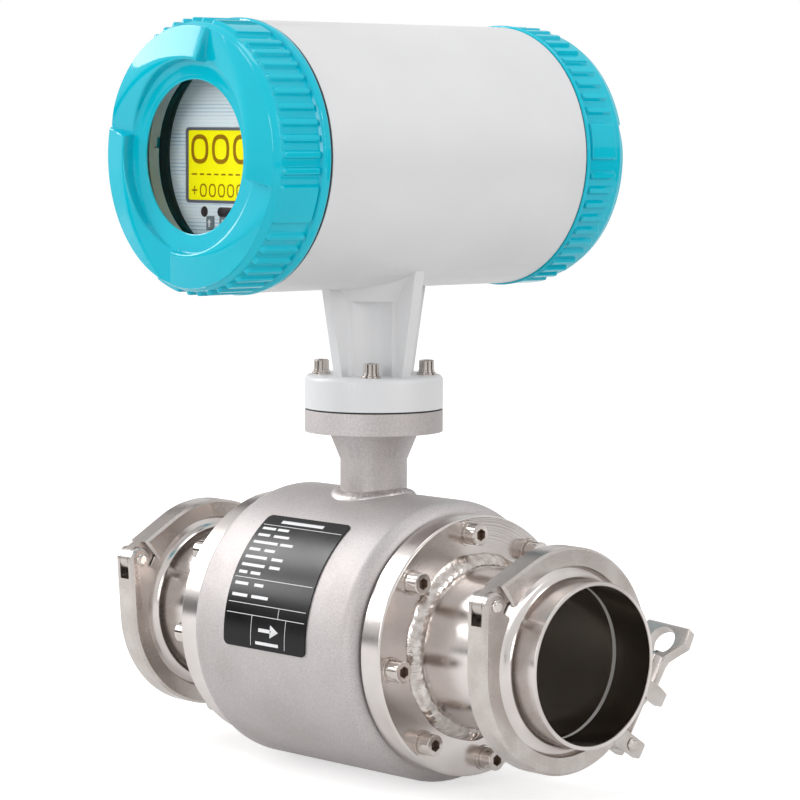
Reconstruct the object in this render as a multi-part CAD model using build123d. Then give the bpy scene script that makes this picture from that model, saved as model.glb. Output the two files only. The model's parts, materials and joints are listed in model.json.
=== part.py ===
from build123d import *
from math import acos, cos, degrees, radians, sin, tan
import os

os.makedirs("parts", exist_ok=True)

# Electromagnetic flow meter for sanitary pipework, 65 mm nominal bore, in millimetres.
# The origin is the centre of the measuring tube. +X runs with the flow, +Z points up to the
# converter, and the display looks along -Y.

# Pipe and clamped ferrules
pipe_od = 76.1
pipe_wall = 2.0
meter_length = 250.0
ferrule_od = 91.0
ferrule_rim = 2.85
ferrule_angle = 20.0
ferrule_neck_step = 2.0
weld_ferrule_length = 21.5
ferrule_gasket = 2.0
groove_radius = 42.2
groove_half_width = 1.5
groove_depth = 1.1
bead_clearance = 0.1

# Measuring tube, liner and coils
liner_wall = 3.0
liner_flare_radius = 46.0
liner_flare = 1.6
body_half_length = 58.0
tube_flange_inset = 8.2
tube_flange = 10.0
body_radius = 66.5
body_wall = 3.0
body_shoulder = 7.5
weld_gap = 0.1
coil_height = 8.0
coil_half_length = 30.0
coil_leg = 12.0
coil_half_angle = 50.0
coil_leg_angle = 20.0
yoke_wall = 2.5
yoke_half_length = 33.0
electrode_stem_radius = 2.0
electrode_head_radius = 5.0
electrode_head = 1.5
bush_radius = 5.5
bush_flange_radius = 7.0
bush_flange = 2.0
electrode_nut_flats = 7.0
electrode_nut = 2.4

# End flanges and their screws
flange_inset = 5.5
flange_thickness = 12.3
flange_chamfer = 0.8
weld_leg = 5.3
weld_throat = 1.7
bolt_edge_distance = 7.5
bolts_per_flange = 8
bolt_turn = 6.0
flange_screw = dict(shank=3.0, head=5.0, head_height=6.0, flats=5.0, socket=3.2, length=20.0)
flange_flat_washer = dict(outer=6.0, thickness=1.2)
flange_spring_washer = dict(outer=5.1, thickness=1.5)
screw_clearance = 0.3
thread_clearance = 0.05
head_chamfer = 0.5

# Pipe clamps
clamp_radius = 52.0
clamp_half_width = 6.5
clamp_lip_radius = 43.6
clamp_floor_clearance = 0.5
clamp_taper_clearance = 0.15
clamp_turn_inlet = -28.0
clamp_turn_outlet = -33.0
clamp_edge = 1.2
hinge_radius = 54.0
knuckle_radius = 6.2
knuckle_half_width = 3.0
hinge_side_clearance = 0.3
hinge_slot_depth = 11.0
hinge_end_gap = 1.8
rivet_radius = 2.0
rivet_head_radius = 3.1
rivet_head = 1.5
pin_clearance = 0.05
ear_gap = 18.8
ear_thickness = 8.0
ear_reach = 66.0
ear_half_width = 7.0
ear_corner = 1.5
bolt_offset = 58.0
bolt_radius = 2.95
bolt_eye_radius = 4.3
bolt_eye_half_width = 3.2
bolt_length = 47.0
bolt_slot_clearance = 0.35
nut_seat_clearance = 0.1
nut_sleeve_radius = 5.2
nut_sleeve_height = 13.0
nut_plate = 6.4
nut_span = 12.6
nut_shoulder_rise = 4.5
nut_height = 29.8
nut_eye_radius = 6.6
nut_eye_height = 21.3
nut_turn = 12.0
nut_corner = 1.2
nut_edge = 0.7

# Rating plate
plate_from = -31.5
plate_to = 27.5
plate_low_angle = -3.5
plate_high_angle = 55.5
plate_thickness = 0.4
plate_gap = 0.2
plate_corner = 3.0

# Steel neck
neck_radius = 16.0
neck_bore_radius = 12.0
neck_cone_bottom = 82.0
neck_cone_radius = 21.5
neck_flange_radius = 33.0
neck_root_depth = 6.0
neck_flange_bottom = 95.5
neck_flange = 10.5
neck_weld_leg = 4.5
neck_gasket = 0.8
neck_gasket_inset = 0.6
neck_screw_radius = 25.1
neck_screw = dict(shank=2.0, head=3.6, head_height=4.8, flats=3.0, socket=2.5, length=26.0)
neck_flat_washer = dict(outer=4.6, thickness=1.0)
neck_spring_washer = dict(outer=3.9, thickness=1.2)

# Converter casting
converter_height = 226.45
converter_radius = 62.6
converter_front = 80.6
converter_back = 79.6
converter_bore_radius = 56.4
partition_front = 20.0
partition = 5.0
foot_height = 15.8
foot_edge = 2.5
fin_thickness = 5.7
fin_reach_low = 22.9
fin_reach_high = 30.6
column_apothem = 15.6
column_top = 158.0
column_flare_angle = 26.0
tool_flute_radius = 13.4
cable_passage_radius = 8.0
entry_boss_radius = 15.0
entry_boss_reach = 70.0
entry_depth = 52.0
entry_spacing = 36.0
entry_thread_radius = 9.9
wire_hole_radius = 6.0
wire_hole_offset = 34.0
board_boss_radius = 4.0
board_boss_circle = 44.0

# Cable glands
gland_hex_flats = 24.0
gland_hex_height = 6.0
gland_thread_length = 11.0
gland_collar_radius = 9.6
gland_collar = 9.0
gland_nut_flats = 24.0
gland_nut_height = 15.0
gland_bore_radius = 4.5
gland_nut_bore_radius = 6.2

# Screwed covers
cover_radius = 63.5
cover_band_radius = 62.5
cover_bore_radius = 52.4
cover_thread_length = 12.0
cover_thread_clearance = 0.2
cover_flange = 4.2
cover_face_radius = 59.5
cover_chamfer_depth = 2.6
cover_dish = 1.1
front_rim = 29.0
rear_rim = 24.6
front_rib_start = 7.1
front_rib_end = 28.6
rear_rib_start = 3.8
rear_rib_end = 20.6
rib_radius = 1.7
rib_pitch = 6.75
ribs_per_quarter = 10
panel_width = 16.0
front_panel_turn = -19.4
rear_panel_turn = 6.8
lobe_radius = 44.0
lobe_rise = 5.4
lobe_slope = 0.125
front_lobe_turn = -13.5
rear_lobe_turn = 14.0
rear_cover_wall = 6.0
front_gasket = 1.4
rear_gasket = 0.8
gasket_inset = 0.4

# Window
window_radius = 35.0
window_lip = 3.0
window_seal = 1.0
glass_radius = 48.5
glass_thickness = 6.0
glass_clearance = 0.25
retainer_thickness = 6.0
retainer_bore_radius = 45.5
retainer_notches = 4
retainer_notch = 1.6
retainer_notch_width = 5.0

# Display
bezel_radius = 51.0
bezel_bore_radius = 44.5
bezel_front = 87.0
bezel_lip = 1.5
bezel_wall = 2.0
face_plate = 1.2
face_plate_radius = 48.7
lcd_width = 62.0
lcd_height = 32.5
lcd_centre = -4.0
lcd_clearance = 0.5
lcd_depth = 4.0
carrier_radius = 47.0
carrier_thickness = 1.6
key_width = 5.2
key_height = 6.2
key_pitch = 9.6
key_drop = 30.6
key_proud = 0.9
key_flange = 0.8
key_flange_side = 0.7
key_travel = 0.8
key_clearance = 0.15
main_board_front = 61.6
board_thickness = 1.6
board_radius = 50.8
standoff_radius = 3.0
standoff_circle = 40.0
power_board_front = 30.0
display_socket_size = (22.0, 6.0, 22.0)
display_socket_rise = 6.0
ribbon_socket_size = (12.0, 8.0, 26.0)
ribbon_socket_place = (-22.0, -12.0)
transformer_size = (34.0, 18.0, 28.0)
transformer_rise = 8.0
capacitor_radius = 5.5
capacitor_height = 16.0
capacitor_place = (18.0, -20.0)
terminal_block_size = (72.0, 20.0, 24.0)
terminal_count = 8
terminal_pitch = 8.0
terminal_screw_radius = 2.6

# Derived places
pipe_radius = pipe_od / 2
bore_radius = pipe_radius - pipe_wall
liner_radius = bore_radius - liner_wall
tube_flange_radius = body_radius - tube_flange_inset
flange_radius = body_radius - flange_inset
bolt_circle_radius = flange_radius - bolt_edge_distance
ferrule_radius = ferrule_od / 2
face_x = meter_length / 2
flange_back = body_half_length + liner_flare
flange_front = flange_back + flange_thickness
clamp_x = face_x + ferrule_gasket / 2
clamp_floor_radius = ferrule_radius + clamp_floor_clearance
neck_top = neck_flange_bottom + neck_flange
foot_bottom = neck_top + neck_gasket
foot_top = foot_bottom + foot_height
pivot_drop = ear_gap / 2 + ear_thickness / 2
nut_seat = ear_gap / 2 + ear_thickness + nut_seat_clearance
yoke_radius = pipe_radius + coil_height + 0.9


def turned_x(points):
    """Solid of revolution about the pipe axis from (x, radius) points."""
    outline = Polyline(*[(x, r, 0) for x, r in points], close=True)
    return revolve(make_face(outline), Axis.X)


def turned_z(points):
    """Solid of revolution about the neck axis from (radius, z) points."""
    outline = Polyline(*[(r, 0, z) for r, z in points], close=True)
    return revolve(make_face(outline), Axis.Z)


def turned_y(points):
    """Solid of revolution about the converter axis from (radius, y) points."""
    outline = Polyline(*[(r, y, converter_height) for r, y in points], close=True)
    return revolve(make_face(outline), Axis((0, 0, converter_height), (0, 1, 0)))


def rod_x(radius, x0, x1, y=0, z=0):
    return Pos(0.5 * (x0 + x1), y, z) * Rot(0, 90, 0) * Cylinder(radius, abs(x1 - x0))


def rod_y(radius, y0, y1, x=0, z=converter_height):
    return Pos(x, 0.5 * (y0 + y1), z) * Rot(90, 0, 0) * Cylinder(radius, abs(y1 - y0))


def rod_z(radius, z0, z1, x=0, y=0):
    return Pos(x, y, 0.5 * (z0 + z1)) * Cylinder(radius, abs(z1 - z0))


def ring_y(outer, inner, y0, y1):
    return rod_y(outer, y0, y1) - rod_y(inner, y0 - 1, y1 + 1)


def hexagon_prism(flats, z0, z1):
    return extrude(Plane.XY.offset(z0) * RegularPolygon(flats / 2, 6, major_radius=False), z1 - z0)


def group(solids):
    return Compound(children=list(solids))


def polar(radius, angle):
    return radius * cos(radians(angle)), radius * sin(radians(angle))


# Fasteners stand on z = 0 with the shank pointing down.

def cap_screw(shank, head, head_height, flats, socket, length):
    body = Pos(0, 0, head_height / 2) * Cylinder(head, head_height)
    body = chamfer(body.edges().sort_by(Axis.Z)[-1], head_chamfer)
    body += rod_z(shank, -length, 0)
    return body - hexagon_prism(flats, head_height - socket, head_height + 1)


def washer(outer, inner, thickness):
    return rod_z(outer, 0, thickness) - rod_z(inner, -1, thickness + 1)


# Pipe pieces. A ferrule's section starts at its sealing face and runs back along the pipe.

def ferrule_section(length):
    taper = (ferrule_radius - pipe_radius - ferrule_neck_step) * tan(radians(ferrule_angle))
    groove_low = groove_radius - groove_half_width
    groove_high = groove_radius + groove_half_width
    floor = groove_half_width / 2
    return [
        (0, bore_radius),
        (0, groove_low),
        (groove_depth, groove_low + floor),
        (groove_depth, groove_high - floor),
        (0, groove_high),
        (0, ferrule_radius),
        (ferrule_rim, ferrule_radius),
        (ferrule_rim + taper, pipe_radius + ferrule_neck_step),
        (ferrule_rim + taper + ferrule_neck_step, pipe_radius),
        (length, pipe_radius),
        (length, bore_radius),
    ]


def spool(side):
    section = ferrule_section(face_x - flange_back)
    return turned_x([(side * (face_x - d), r) for d, r in section])


def weld_ferrule(side):
    start = face_x + ferrule_gasket
    section = ferrule_section(weld_ferrule_length)
    return turned_x([(side * (start + d), r) for d, r in section])


def pipe_gasket(side):
    low = groove_radius - groove_half_width
    high = groove_radius + groove_half_width
    slope = groove_half_width / 2
    bead = groove_depth - bead_clearance
    half = ferrule_gasket / 2
    right = [
        (half, bore_radius),
        (half, low + bead_clearance),
        (half + bead, low + slope + bead_clearance),
        (half + bead, high - slope - bead_clearance),
        (half, high - bead_clearance),
        (half, ferrule_radius - bead_clearance),
    ]
    left = [(-x, r) for x, r in reversed(right)]
    return turned_x([(side * clamp_x + x, r) for x, r in right + left])


# Sensor body

def bolt_places(side, x):
    """One place on each bolt axis, turned so that a fastener's head points outwards."""
    for k in range(bolts_per_flange):
        angle = 90 + bolt_turn + k * 360 / bolts_per_flange
        y, z = polar(bolt_circle_radius, angle)
        yield Pos(side * x, y, z) * Rot(0, side * 90, 0)


def end_flange(side):
    edge = flange_chamfer
    seat = pipe_radius + thread_clearance
    section = [
        (flange_back, seat),
        (flange_back, flange_radius),
        (flange_front - edge, flange_radius),
        (flange_front, flange_radius - edge),
        (flange_front, seat),
    ]
    disc = turned_x([(side * x, r) for x, r in section])
    hole = flange_screw["shank"] + screw_clearance
    for place in bolt_places(side, flange_front):
        disc -= place * rod_z(hole, -flange_thickness - 1, 1)
    return disc


def pipe_weld(side):
    low = pipe_radius + thread_clearance
    section = [
        (flange_front, low),
        (flange_front, low + weld_leg + weld_throat / 2),
        (flange_front + weld_throat / 2, low + weld_leg + weld_throat / 3),
        (flange_front + weld_leg / 2 + weld_throat / 2, low + weld_leg / 2 + weld_throat / 2),
        (flange_front + weld_leg, low + weld_throat / 3),
        (flange_front + weld_leg, low),
    ]
    return turned_x([(side * x, r) for x, r in section])


def measuring_tube():
    end = body_half_length
    inner = end - tube_flange
    tube = turned_x([
        (-end, bore_radius),
        (-end, tube_flange_radius),
        (-inner, tube_flange_radius),
        (-inner, pipe_radius),
        (inner, pipe_radius),
        (inner, tube_flange_radius),
        (end, tube_flange_radius),
        (end, bore_radius),
    ])
    tapped = flange_screw["shank"] + thread_clearance
    for side in (-1, 1):
        for place in bolt_places(side, end):
            tube -= place * rod_z(tapped, -tube_flange - 1, 1)
    hole = bush_radius + thread_clearance
    return tube - rod_y(hole, -body_radius, body_radius, 0, 0)


def liner():
    outer = bore_radius - thread_clearance
    half = body_half_length
    sleeve = turned_x([
        (-half - liner_flare, liner_radius),
        (-half - liner_flare, liner_flare_radius),
        (-half, liner_flare_radius),
        (-half, outer),
        (half, outer),
        (half, liner_flare_radius),
        (half + liner_flare, liner_flare_radius),
        (half + liner_flare, liner_radius),
    ])
    sleeve -= rod_y(electrode_stem_radius + pin_clearance, -body_radius, body_radius, 0, 0)
    recess = liner_radius + electrode_head
    return sleeve - rod_y(electrode_head_radius + pin_clearance, -recess, recess, 0, 0)


def sensor_housing():
    shell = rod_x(body_radius, -body_half_length, body_half_length)
    shell = fillet(shell.edges().filter_by(GeomType.CIRCLE), body_shoulder)
    room = body_half_length - body_wall
    inside = rod_x(body_radius - body_wall, -room, room)
    inside = fillet(inside.edges().filter_by(GeomType.CIRCLE), body_shoulder - body_wall)
    opening = rod_x(tube_flange_radius + weld_gap, -body_half_length - 1, body_half_length + 1)
    return shell - inside - opening - rod_z(neck_bore_radius, 0, body_radius + 1)


def saddle(inner, outer, half_length, half_angle):
    """Part of a tube wall over +Z, half_angle each side of the top."""
    strip = Polyline(
        (-half_length, inner, 0), (half_length, inner, 0),
        (half_length, outer, 0), (-half_length, outer, 0), close=True)
    wall = revolve(make_face(strip), Axis.X, 2 * half_angle)
    return Rot(90 - half_angle, 0, 0) * wall


def coil_parts():
    inner = pipe_radius + 0.2
    outer = inner + coil_height
    window = coil_half_length - coil_leg
    window_angle = coil_half_angle - coil_leg_angle
    coil = saddle(inner, outer, coil_half_length, coil_half_angle)
    coil -= saddle(inner - 1, outer + 1, window, window_angle)
    shoe = saddle(inner, yoke_radius, window - 0.3, window_angle - 0.5)
    return coil, shoe


def yoke_band():
    band = turned_x([
        (-yoke_half_length, yoke_radius),
        (-yoke_half_length, yoke_radius + yoke_wall),
        (yoke_half_length, yoke_radius + yoke_wall),
        (yoke_half_length, yoke_radius),
    ])
    return band - rod_y(bush_flange_radius + 1, -body_radius, body_radius, 0, 0)


def electrode_parts():
    """Electrode, its insulating bush and its nut, along +Z from the pipe axis."""
    seat = liner_radius + electrode_head
    bush_top = pipe_radius + bush_flange
    nut_top = bush_top + electrode_nut
    electrode = rod_z(electrode_head_radius, liner_radius, seat)
    electrode += rod_z(electrode_stem_radius, seat, nut_top + 2)
    bush = rod_z(bush_radius, bore_radius, pipe_radius)
    bush += rod_z(bush_flange_radius, pipe_radius, bush_top)
    bush -= rod_z(electrode_stem_radius + pin_clearance, 0, bush_top + 1)
    nut = hexagon_prism(electrode_nut_flats, bush_top, nut_top)
    nut -= rod_z(electrode_stem_radius + pin_clearance, 0, nut_top + 1)
    return electrode, bush, nut


def rating_plate():
    seat = body_radius + plate_gap
    plate = saddle(seat, seat + plate_thickness, (plate_to - plate_from) / 2,
                   (plate_high_angle - plate_low_angle) / 2)
    corners = [e for e in plate.edges() if e.length < 2 * plate_thickness]
    plate = fillet(corners, plate_corner)
    middle = (plate_high_angle + plate_low_angle) / 2
    return Pos((plate_from + plate_to) / 2, 0, 0) * Rot(90 - middle, 0, 0) * plate


# Pipe clamp. It is drawn with its parting line along Y, the hinge at -Y and the ears at +Y,
# and its middle plane at x = 0.

def clamp_cavity():
    """Everything inside the clamp: the pipe and the V groove that draws two ferrules together."""
    rim = ferrule_rim + ferrule_gasket / 2 + clamp_taper_clearance
    slope = tan(radians(ferrule_angle))
    lip = rim + (ferrule_radius - clamp_lip_radius) * slope
    far = clamp_half_width + 2
    half = [(rim, clamp_floor_radius), (rim, ferrule_radius), (lip, clamp_lip_radius)]
    half += [(far, clamp_lip_radius)]
    return turned_x([(far, 0)] + half[::-1] + [(-x, r) for x, r in half] + [(-far, 0)])


def slab(outline, half_width):
    return extrude(Plane.YZ * outline, half_width, both=True)


def half_profile(side):
    """Half ring with the straight run to the hinge; side is +1 above the parting line."""
    lean = degrees(acos((clamp_radius - knuckle_radius) / hinge_radius))
    rim = polar(clamp_radius, 180 - lean)
    knuckle = polar(knuckle_radius, 180 - lean)
    run = Polyline((0, 0), rim, (knuckle[0] - hinge_radius, knuckle[1]), (-hinge_radius, 0),
                   close=True)
    profile = Circle(clamp_radius) + make_face(run)
    limit = 2 * clamp_radius
    profile &= Pos(0, limit / 2) * Rectangle(2 * limit, limit)
    profile -= Pos(limit / 2, 0) * Rectangle(limit, ear_gap)
    return profile if side > 0 else mirror(profile, Plane.XZ)


def soft_slab(outline, half_width):
    body = slab(outline, half_width)
    faces = body.faces().filter_by(Axis.X)
    return chamfer(faces.edges(), clamp_edge)


def ear(side):
    middle = side * pivot_drop
    start = (clamp_lip_radius + ear_reach) / 2
    shape = Pos(start, middle) * RectangleRounded(
        ear_reach - clamp_lip_radius, ear_thickness, ear_corner)
    if side > 0:
        shape &= Pos(bolt_offset, -pivot_drop) * Circle(
            nut_seat - nut_seat_clearance + pivot_drop)
    return slab(shape, ear_half_width)


def bolt_slot(side):
    eye = bolt_eye_radius if side < 0 else bolt_radius
    width = bolt_eye_half_width if side < 0 else bolt_radius
    start = bolt_offset - eye - bolt_slot_clearance
    length = ear_reach - start + 1
    return Pos(0, start + length / 2, side * pivot_drop) * Box(
        2 * (width + bolt_slot_clearance), length, 2 * ear_thickness)


def rivet_hole():
    return rod_x(rivet_radius + pin_clearance, -clamp_half_width - 1, clamp_half_width + 1,
                 -hinge_radius, 0)


def clamp_upper():
    near = knuckle_radius + hinge_end_gap
    lean = 18.0
    far = 3 * clamp_radius
    end = Pos(-hinge_radius, 0) * Rot(0, 0, -lean) * Pos(0, near + far / 2) * Rectangle(2 * far, far)
    profile = half_profile(1)
    left = Pos(-far / 2, 0) * Rectangle(far, 2 * far)
    right = Pos(far / 2, 0) * Rectangle(far, 2 * far)
    band = soft_slab((profile & left & end) + (profile & right), clamp_half_width)
    tongue = (profile & left) + Pos(-hinge_radius, 0) * Circle(knuckle_radius)
    body = band + slab(tongue, knuckle_half_width) + ear(1)
    return body - clamp_cavity() - bolt_slot(1) - rivet_hole()


def clamp_lower():
    profile = half_profile(-1) + Pos(-hinge_radius, 0) * Circle(knuckle_radius)
    body = soft_slab(profile, clamp_half_width) + ear(-1)
    slot_half = knuckle_half_width + hinge_side_clearance
    slot_top = 2 * knuckle_radius
    slot_height = slot_top + hinge_slot_depth
    slot = Pos(0, -hinge_radius, slot_top - slot_height / 2) * Box(
        2 * slot_half, 2 * (hinge_radius - clamp_lip_radius), slot_height)
    pivot_hole = rod_x(rivet_radius + pin_clearance, -ear_half_width - 1, ear_half_width + 1,
                       bolt_offset, -pivot_drop)
    return body - clamp_cavity() - slot - bolt_slot(-1) - rivet_hole() - pivot_hole


def rivet(half_length, y, z):
    """Pin with a domed head at each end."""
    pin = rod_x(rivet_radius, -half_length, half_length, y, z)
    for side in (-1, 1):
        head = Pos(side * (half_length + rivet_head / 2), y, z) * Rot(0, side * 90, 0) * Cylinder(
            rivet_head_radius, rivet_head)
        outer = head.edges().sort_by(Axis.X)[-1 if side > 0 else 0]
        pin += chamfer(outer, rivet_head * 0.6)
    return pin


def swing_bolt():
    eye = rod_x(bolt_eye_radius, -bolt_eye_half_width, bolt_eye_half_width)
    shank = rod_z(bolt_radius, 0, bolt_length)
    shank = chamfer(shank.edges().sort_by(Axis.Z)[-1], bolt_radius / 4)
    hole = rod_x(rivet_radius + pin_clearance, -bolt_eye_half_width - 1, bolt_eye_half_width + 1)
    return Pos(0, bolt_offset, -pivot_drop) * (eye + shank - hole)


def wing_nut():
    half = [
        (nut_sleeve_radius * 0.8, nut_sleeve_height * 0.6),
        (nut_sleeve_radius, nut_sleeve_height),
        (nut_span * 0.72, nut_sleeve_height + nut_shoulder_rise),
        (nut_span, nut_eye_height),
        (nut_span * 0.94, nut_height),
    ]
    outline = make_face(Polyline(*half, *[(-x, z) for x, z in half[::-1]], close=True))
    outline = fillet(outline.vertices().filter_by_position(
        Axis.Y, nut_sleeve_height + nut_corner, nut_height + nut_corner), nut_corner)
    wings = extrude(Plane.XZ * outline, nut_plate / 2, both=True)
    wings = chamfer(wings.faces().filter_by(Axis.Y).edges(), nut_edge)
    body = wings + rod_z(nut_sleeve_radius, 0, nut_sleeve_height)
    body -= rod_y(nut_eye_radius, -nut_span, nut_span, 0, nut_eye_height)
    body -= rod_z(bolt_radius + pin_clearance, -1, nut_eye_height)
    return Pos(0, bolt_offset, nut_seat) * Rot(0, 0, nut_turn) * body


def place_clamp(side, turn, piece):
    return Pos(side * clamp_x, 0, 0) * Rot(turn, 0, 0) * piece


# Neck between sensor and converter

def neck_places(z):
    for k in range(4):
        x, y = polar(neck_screw_radius, 45 + 90 * k)
        yield Pos(x, y, z)


def sensor_neck():
    neck = turned_z([
        (neck_bore_radius, body_radius - neck_root_depth),
        (neck_radius, body_radius - neck_root_depth),
        (neck_radius, neck_cone_bottom),
        (neck_cone_radius, neck_flange_bottom),
        (neck_flange_radius, neck_flange_bottom),
        (neck_flange_radius, neck_top),
        (neck_bore_radius, neck_top),
    ])
    neck -= rod_x(body_radius + weld_gap / 5, -body_half_length, body_half_length)
    tapped = neck_screw["shank"] + thread_clearance
    for place in neck_places(neck_top):
        neck -= place * rod_z(tapped, -neck_flange + 1, 1)
    return neck


def neck_weld():
    low = body_radius - 5
    high = body_radius + neck_weld_leg / 2
    inner = neck_radius + weld_gap / 2
    bead = turned_z([
        (inner, low),
        (inner + neck_weld_leg + 1, low),
        (inner + neck_weld_leg / 2, body_radius),
        (inner + 0.6, high),
        (inner, high),
    ])
    return bead - rod_x(body_radius + weld_gap / 2, -body_half_length, body_half_length)


def neck_seal():
    outer = neck_flange_radius - neck_gasket_inset
    seal = rod_z(outer, neck_top, foot_bottom) - rod_z(neck_bore_radius, neck_top - 1, foot_bottom + 1)
    hole = neck_screw["shank"] + screw_clearance
    for place in neck_places(neck_top):
        seal -= place * rod_z(hole, -1, neck_gasket + 1)
    return seal


# Converter casting: round case, finned pillar and foot

def pillar():
    top = converter_height - 0.8 * converter_radius
    low_z = foot_top - 1
    rise = (fin_reach_high - fin_reach_low) / (converter_height - converter_radius - foot_top)
    low = fin_reach_low - rise
    high = fin_reach_low + rise * (top - foot_top)
    fin = make_face(Polyline((-low, low_z), (low, low_z), (high, top), (-high, top), close=True))
    fin = extrude(Plane.XZ * fin, fin_thickness / 2, both=True)
    across = 2 * column_apothem
    flare_height = top - column_top
    flare = flare_height * tan(radians(column_flare_angle))
    body = fin + Rot(0, 0, 90) * fin
    body += extrude(Plane.XY.offset(low_z) * Rot(0, 0, 45) * Rectangle(across, across),
                    top - low_z)
    body += loft([
        Plane.XY.offset(column_top) * Rot(0, 0, 45) * Rectangle(across, across),
        Plane.XY.offset(top) * Rot(0, 0, 45) * Rectangle(across + 2 * flare, across + 2 * flare),
    ])
    for place in neck_places(foot_top):
        body -= place * rod_z(tool_flute_radius, 0, column_top - foot_top)
    return body


def entry_places():
    for side in (-1, 1):
        yield entry_depth, converter_height + side * entry_spacing / 2


def converter_housing():
    case = rod_y(converter_radius, -converter_front, converter_back)
    foot = rod_z(neck_flange_radius, foot_bottom, foot_top)
    foot = fillet(foot.edges().sort_by(Axis.Z)[-1], foot_edge)
    body = case + pillar() + foot
    for y, z in entry_places():
        body += rod_x(entry_boss_radius, -entry_boss_reach, -converter_bore_radius * 0.8, y, z)
    partition_back = partition_front + partition
    body -= rod_y(converter_bore_radius, -converter_front - 1, partition_front)
    body -= rod_y(converter_bore_radius, partition_back, converter_back + 1)
    body -= rod_y(wire_hole_radius, partition_front - 1, partition_back + 1, wire_hole_offset,
                  converter_height - wire_hole_offset)
    for k in range(4):
        x, z = polar(board_boss_circle, 45 + 90 * k)
        body += rod_y(board_boss_radius, -power_board_front + board_thickness, partition_front + 1,
                      x, converter_height + z)
    body -= rod_z(cable_passage_radius, foot_bottom - 1, converter_height - converter_bore_radius / 2)
    for y, z in entry_places():
        body -= rod_x(entry_thread_radius, -entry_boss_reach - 1, -converter_bore_radius / 2, y, z)
    hole = neck_screw["shank"] + screw_clearance
    for place in neck_places(foot_top):
        body -= place * rod_z(hole, -foot_height - 1, 1)
    return body


# Screwed covers. Their sections are written as (radius, distance from the end of the case),
# and side is -1 for the display end and +1 for the terminal end.

def cover_y(side, distance):
    return side * ((converter_front if side < 0 else converter_back) + distance)


def turned_cover(side, section):
    return turned_y([(r, cover_y(side, d)) for r, d in section])


def cover_shell(side, seat, rim, inside):
    spigot = converter_bore_radius - cover_thread_clearance
    start = seat - cover_thread_length
    face = rim + cover_chamfer_depth
    outside = [
        (cover_bore_radius, start),
        (spigot, start),
        (spigot, seat),
        (cover_radius - 0.8, seat),
        (cover_radius, seat + 0.8),
        (cover_radius, seat + cover_flange),
        (cover_band_radius, seat + cover_flange + 0.8),
        (cover_band_radius, rim),
        (cover_face_radius, face),
        (lobe_radius, face - cover_dish),
    ]
    return turned_cover(side, outside + inside)


def cover_lobes(side, face, turn):
    """Four raised lobes like a pinwheel, each rising over a quarter turn to a step."""
    floor = face - cover_dish
    ring = turned_cover(side, [
        (lobe_radius, floor - 1),
        (cover_face_radius, face - 1),
        (cover_face_radius, face),
        (lobe_radius, floor + lobe_rise),
    ])
    reach = 2 * cover_radius
    depth = 4 * lobe_rise
    lean = -degrees(lobe_slope)
    quarter = Pos(reach / 2, 0, reach / 2) * Box(reach, depth, reach)
    below = Rot(0, 0, lean) * Pos(0, depth / 2, 0) * Box(2 * reach, depth, 2 * reach)
    if side > 0:
        below = mirror(below, Plane.XZ)
    lobes = []
    for k in range(4):
        spin = Pos(0, cover_y(side, floor), converter_height) * Rot(0, -turn - 90 * k, 0)
        lobes.append(ring & (spin * (quarter & below)))
    return lobes


def cover_grips(side, start, end, turn):
    """Half-round ribs in four groups with a plain raised panel between groups."""
    low, high = sorted((cover_y(side, start), cover_y(side, end)))
    grips = []
    for quarter in range(4):
        base = turn + 90 * quarter
        for k in range(1, ribs_per_quarter + 1):
            angle = base + panel_width / 2 + (k - 0.1) * rib_pitch
            x, z = polar(cover_radius - rib_radius + 0.3, angle)
            grips.append(rod_y(rib_radius, low, high, x, converter_height + z))
        strip = Polyline(
            (cover_band_radius - 1, low, 0), (cover_radius, low, 0),
            (cover_radius, high, 0), (cover_band_radius - 1, high, 0), close=True)
        panel = revolve(make_face(strip), Axis.Y, panel_width)
        grips.append(Pos(0, 0, converter_height) * Rot(0, panel_width / 2 - base, 0) * panel)
    return grips


def window_stack():
    """Distances from the end of the case to each layer at the window, from the front inwards."""
    lip_front = front_rim + cover_chamfer_depth - 2 * cover_dish
    lip_back = lip_front - window_lip
    seal_back = lip_back - window_seal
    glass_back = seal_back - glass_thickness
    retainer_back = glass_back - retainer_thickness
    return lip_front, lip_back, seal_back, glass_back, retainer_back


def front_cover():
    lip_front, lip_back, seal_back, glass_back, retainer_back = window_stack()
    pocket = glass_radius + glass_clearance
    inside = [
        (window_radius, lip_front),
        (window_radius, lip_back),
        (pocket, lip_back),
        (pocket, retainer_back),
        (cover_bore_radius, retainer_back),
    ]
    body = cover_shell(-1, front_gasket, front_rim, inside)
    body += cover_lobes(-1, front_rim + cover_chamfer_depth, front_lobe_turn)
    return body + cover_grips(-1, front_rib_start, front_rib_end, front_panel_turn)


def rear_cover():
    face = rear_rim + cover_chamfer_depth
    inside = [
        (0, face - cover_dish),
        (0, face - cover_dish - rear_cover_wall),
        (cover_bore_radius, face - cover_dish - rear_cover_wall),
    ]
    body = cover_shell(1, rear_gasket, rear_rim, inside)
    body += cover_lobes(1, face, rear_lobe_turn)
    return body + cover_grips(1, rear_rib_start, rear_rib_end, rear_panel_turn)


def cover_gasket(side, thickness):
    inner = converter_bore_radius + cover_thread_clearance
    outer = converter_radius - gasket_inset
    return turned_cover(side, [(inner, 0), (outer, 0), (outer, thickness), (inner, thickness)])


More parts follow.
